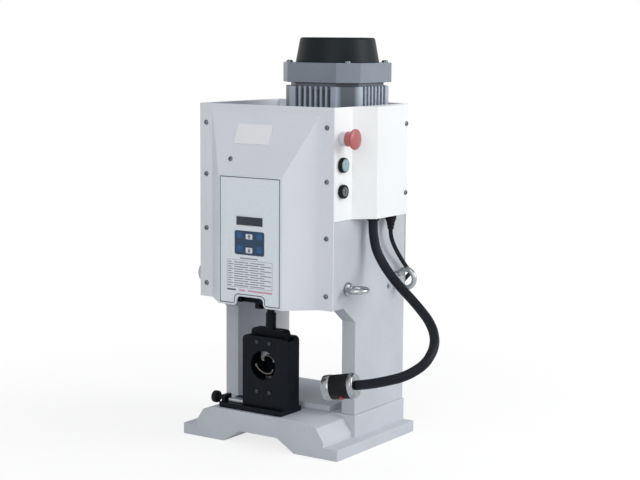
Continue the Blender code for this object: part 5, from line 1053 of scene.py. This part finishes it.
class CRIMPER_OT_controls(bpy.types.Operator):
    """Finish the emergency stop, the start button and the key switch on the right wall"""

    bl_idname = "crimper.controls"
    bl_label = "Controls"

    def execute(self, context):
        steps = context.scene.crimper_sizes.lathe_steps

        def on_wall(name, finish, node, height, profile, ring=False, steps=steps):
            """A turned piece that stands out of the right wall at a height, with its stations from the wall."""
            bm = turned(profile, steps, (WALL_X, SWITCH_Y, height), (1, 0, 0), ring)
            return finished(name, bm, finish, node)

        foot, _ = wall_reach("estop_collar")
        on_wall("stop_collar", "collar", "estop_collar", STOP_HEIGHT, [
            (STEM_BORE, foot), (BARREL, foot), (BARREL, 0.3), (9.9, 0.3), (10.2, 0.7), (10.2, 2.6), (9.7, 3),
            (9.7, 3.6), (10.2, 4), (10.2, 11.4), (9.9, 11.8), (STEM_BORE, 11.8),
        ], ring=True)
        on_wall("stop_head", "red", "estop_head", STOP_HEIGHT, [
            (0, 19.4), (STEM_BORE, 19.4), (STEM_BORE, 16.2), (10.5, 16.2), (10.5, 9.9), (10.8, 9.8), (11, 10.1),
            (11, 15.6), (11.5, 17.2), (12.9, 18.9), (14.4, 20.3), (15, 21.6), (15, 22.6), (14.6, 23.5),
            (13.4, 24.3), (10.5, 25), (6, 25.7), (0, 26),
        ])
        painted("turned", "estop_stem")
        foot, _ = wall_reach("start_button_ring")
        on_wall("start_ring", "black", "start_button_ring", START_HEIGHT, [
            (STEM_BORE, foot), (BARREL, foot), (BARREL, 0.3), (10.5, 0.3), (11, 0.9), (11, 4.4), (10.7, 5.6),
            (10.1, 6.4), (9.6, 6.6), (9.35, 6.2), (9.35, 1.4), (STEM_BORE, 1.4),
        ], ring=True)
        foot, dome = wall_reach("start_button_cap")
        on_wall("start_cap", "teal", "start_button_cap", START_HEIGHT, [
            (0, foot), (STEM, foot), (STEM, 4.6), (9.05, 4.6), (9.05, dome - 0.9), (8.8, dome - 0.4),
            (8.2, dome - 0.1), (5, dome - 0.05), (0, dome),
        ])
        foot, _ = wall_reach("key_switch_body")
        seat, face = wall_reach("key_cylinder")
        on_wall("key_ring", "black", "key_switch_body", KEY_HEIGHT, [
            (0, foot), (BARREL, foot), (BARREL, 0.3), (9.7, 0.3), (10.1, 0.9), (10.1, 4.8), (9.8, 5.7),
            (9.1, 6.3), (7.8, 6.3), (7.2, 5.8), (7.2, seat - 0.3), (0, seat - 0.3),
        ])
        barrel = on_wall("key_barrel", "grey", "key_cylinder", KEY_HEIGHT, [
            (0, seat), (6.9, seat), (6.9, face - 0.4), (6.5, face), (0, face),
        ], steps=steps // 2)
        keyhole = bmesh.new()
        middle, half = Vector((WALL_X + face, SWITCH_Y, KEY_HEIGHT)), Vector((3, 1, 4))
        middle.x -= 1
        brick(keyhole, middle - half, middle + half)
        carved(barrel, keyhole)
        painted("black", "estop_contacts", "start_contacts", "key_contacts")
        return {"FINISHED"}


def fluted(bm, spot, aim, reach, count, depth):
    """Sink even flutes into the rim of a turned piece, where it is as wide as reach."""
    axis = Vector(aim).normalized()
    middle = at(*spot)
    across = axis.orthogonal().normalized()
    along = axis.cross(across)
    for vert in bm.verts:
        arm = vert.co - middle
        arm -= axis * arm.dot(axis)
        if arm.length > reach * MM:
            angle = math.atan2(arm.dot(along), arm.dot(across))
            sink = depth * MM * (0.5 - 0.5 * math.cos(count * angle))
            vert.co -= arm.normalized() * sink


class CRIMPER_OT_lamp(bpy.types.Operator):
    """Finish the work lamp, its bending hose and its socket"""

    bl_idname = "crimper.lamp"
    bl_label = "Work lamp"

    def execute(self, context):
        sizes = context.scene.crimper_sizes
        steps = sizes.lathe_steps
        line_of("lamp_hose", HOSE_ROUTE, sizes.hose_diameter, "hose", "gooseneck_hose")
        softened("hose_socket", "black", 0.4 * MM)
        rear = turned([
            (0, 0), (15.4, 0), (16.4, 0.3), (18.1, 2.1), (18.4, 2.8), (18.4, 7.3), (18.1, 7.9), (17.4, 8), (0, 8),
        ], steps, LAMP_REAR, LAMP_AIM)
        finished("lamp_rear_ring_finish", rear, "chrome", "lamp_rear_ring")
        body = turned([
            (14, 8.3), (17.2, 8.3), (17.6, 8.8), (17.6, 35.4), (17.2, 36), (14, 36),
        ], steps * 2, LAMP_REAR, LAMP_AIM, ring=True)
        fluted(body, LAMP_REAR, LAMP_AIM, 17.5, 48, 0.35)
        finished("lamp_body_finish", body, "black", "lamp_body")
        front = turned([
            (14.4, 45.2), (14.4, 47.2), (14.9, 47.7), (17.2, 47.7), (18.1, 47.3), (18.4, 46.6), (18.4, 37),
            (18.1, 36.4), (17.5, 36.3), (14.4, 36.3),
        ], steps, LAMP_REAR, LAMP_AIM, ring=True)
        finished("lamp_front_ring_finish", front, "chrome", "lamp_front_ring")
        low, high = extent("lamp_lens")
        middle = ((low + high) / 2 - LAMP_REAR).dot(LAMP_AIM)
        lens = turned([
            (0, middle - 1), (14.1, middle - 1), (14.1, middle + 0.2), (12.5, middle + 0.8), (7, middle + 1.3),
            (0, middle + 1.5),
        ], steps // 2, LAMP_REAR, LAMP_AIM)
        finished("lamp_lens_finish", lens, "lens", "lamp_lens")
        painted("lamp red", "lamp_switch")
        return {"FINISHED"}


def bent_strip(knots, thick, deep, y):
    """A flat spring that follows knots of (x, z), thick across its bend and deep into the die."""
    bm = bmesh.new()
    line = [Vector((x, y, z)) for x, z in knots]
    inward = Vector((0, deep, 0))
    rings = []
    for number, knot in enumerate(line):
        before, after = line[max(number - 1, 0)], line[min(number + 1, len(line) - 1)]
        run = (after - before).normalized()
        across = Vector((-run.z, 0, run.x)) * thick / 2
        corners = (knot + across, knot - across, knot - across + inward, knot + across + inward)
        verts = [bm.verts.new(at(*corner)) for corner in corners]
        rings.append([bm.edges.new((a, b)) for a, b in zip(verts, verts[1:] + verts[:1])])
    for first, second in zip(rings, rings[1:]):
        bmesh.ops.bridge_loops(bm, edges=first + second)
    for ring in (rings[0], rings[-1]):
        bmesh.ops.contextual_create(bm, geom=ring)
    bmesh.ops.subdivide_edges(
        bm, edges=[e for e in bm.edges if not any(e in ring for ring in rings)], cuts=2, smooth=1.0
    )
    bmesh.ops.recalc_face_normals(bm, faces=bm.faces)
    return bm


class CRIMPER_OT_die_set(bpy.types.Operator):
    """Finish the crimping die set, its clamp and its knob"""

    bl_idname = "crimper.die_set"
    bl_label = "Die set"

    def execute(self, context):
        sizes = context.scene.crimper_sizes
        radius = sizes.edge_radius * 0.6
        for node in ("die_front_plate", "die_rear_frame", "die_slide", "die_base_plate", "ram_hook"):
            softened(node, "oxide", radius)
        softened("clamp_bar", "ground", radius)
        painted("tool", "upper_jaw", "lower_jaw")
        back = extent("die_rear_frame")[1].y
        # Painted shade: a blackened disc just inside the back of the rear frame darkens the window, for the shade
        # inside the die
        shade_disc = turned([
            (0, 0), (21.8, 0), (22.2, 0.4), (22.2, 1.8), (0, 1.8),
        ], sizes.lathe_steps, (DIE_WINDOW[0], back - 0.4, DIE_WINDOW[1]), (0, -1, 0))
        finished("die_window_shade_disc", shade_disc, "oxide")
        for number, (knots, thick) in enumerate((
            (((-17, 122.6), (-13.5, 117.2), (-7.5, 112.4), (0.5, 109.9), (8, 110.2), (12.6, 113), (15.4, 117.5)), 1.5),
            (((-3.4, 131), (-1.4, 135.2), (3.4, 137.4), (9.6, 136.2), (15.4, 132.2), (19.6, 128.6)), 1.3),
        ), 1):
            finished(f"wire_spring_{number}", bent_strip(knots, thick, 3.4, DIE_FRONT + 4.6), "spring")
        outward = (1, 0, 0)
        knob = turned([
            (0, 0), (7.6, 0), (8.8, 0.5), (9.2, 1.3), (9.2, 7.2), (8.6, 7.8), (7.6, 8), (4.6, 8), (4.3, 9.5), (0, 9.5),
        ], sizes.lathe_steps * 2, CLAMP_KNOB, outward)
        fluted(knob, CLAMP_KNOB, outward, 9.1, 36, 0.5)
        joined(knob, turned([(0, 9), (2.5, 9), (2.5, 27.4), (0, 27.4)], 24, CLAMP_KNOB, outward))
        finished("clamp_knob_finish", knob, "knob", "clamp_knob")
        return {"FINISHED"}


class CRIMPER_OT_inside(bpy.types.Operator):
    """Finish the parts inside: crank, ram, guides, gear, bearings and control board"""

    bl_idname = "crimper.inside"
    bl_label = "Inside parts"

    def execute(self, context):
        radius = context.scene.crimper_sizes.edge_radius * 0.6
        for node in ("ram_block", "left_gib", "right_gib"):
            softened(node, "oxide", radius)
        painted("turned", "crankshaft", "crank_bearing", "front_main_bearing", "rear_main_bearing")
        painted("bronze", "worm_wheel")
        painted("gear case", "gear_case")
        painted("board", "control_board")
        return {"FINISHED"}


class CRIMPER_PT_panel(bpy.types.Panel):
    """Lists the pieces of the machine, its sizes and its colours"""

    bl_idname = "CRIMPER_PT_panel"
    bl_label = "Crimping Machine"
    bl_space_type = "VIEW_3D"
    bl_region_type = "UI"
    bl_category = "Crimping Machine"

    def draw(self, context):
        for group in (context.scene.crimper_sizes, context.scene.crimper_colours):
            box = self.layout.box()
            for key in group.bl_rna.properties.keys():
                if key not in ("rna_type", "name"):
                    box.prop(group, key)
        for operator in OPERATORS:
            self.layout.operator(operator.bl_idname)


GROUPS = (CrimperSizes, CrimperColours)
OPERATORS = (
    CRIMPER_OT_stage, CRIMPER_OT_mains_lead, CRIMPER_OT_housing, CRIMPER_OT_front_panel, CRIMPER_OT_castings,
    CRIMPER_OT_lifting_eyes, CRIMPER_OT_screws, CRIMPER_OT_motor, CRIMPER_OT_controls, CRIMPER_OT_lamp,
    CRIMPER_OT_die_set, CRIMPER_OT_inside,
)


def register():
    for group in GROUPS + OPERATORS + (CRIMPER_PT_panel,):
        bpy.utils.register_class(group)
    bpy.types.Scene.crimper_sizes = PointerProperty(type=CrimperSizes)
    bpy.types.Scene.crimper_colours = PointerProperty(type=CrimperColours)


def unregister():
    del bpy.types.Scene.crimper_colours
    del bpy.types.Scene.crimper_sizes
    for group in reversed(GROUPS + OPERATORS + (CRIMPER_PT_panel,)):
        bpy.utils.unregister_class(group)


def main():
    register()
    mix_finishes(bpy.context.scene.crimper_colours)
    bpy.ops.crimper.stage()
    bpy.ops.crimper.mains_lead()
    bpy.ops.crimper.housing()
    bpy.ops.crimper.front_panel()
    bpy.ops.crimper.castings()
    bpy.ops.crimper.lifting_eyes()
    bpy.ops.crimper.screws()
    bpy.ops.crimper.motor()
    bpy.ops.crimper.controls()
    bpy.ops.crimper.lamp()
    bpy.ops.crimper.die_set()
    bpy.ops.crimper.inside()


if __name__ == "__main__":
    main()
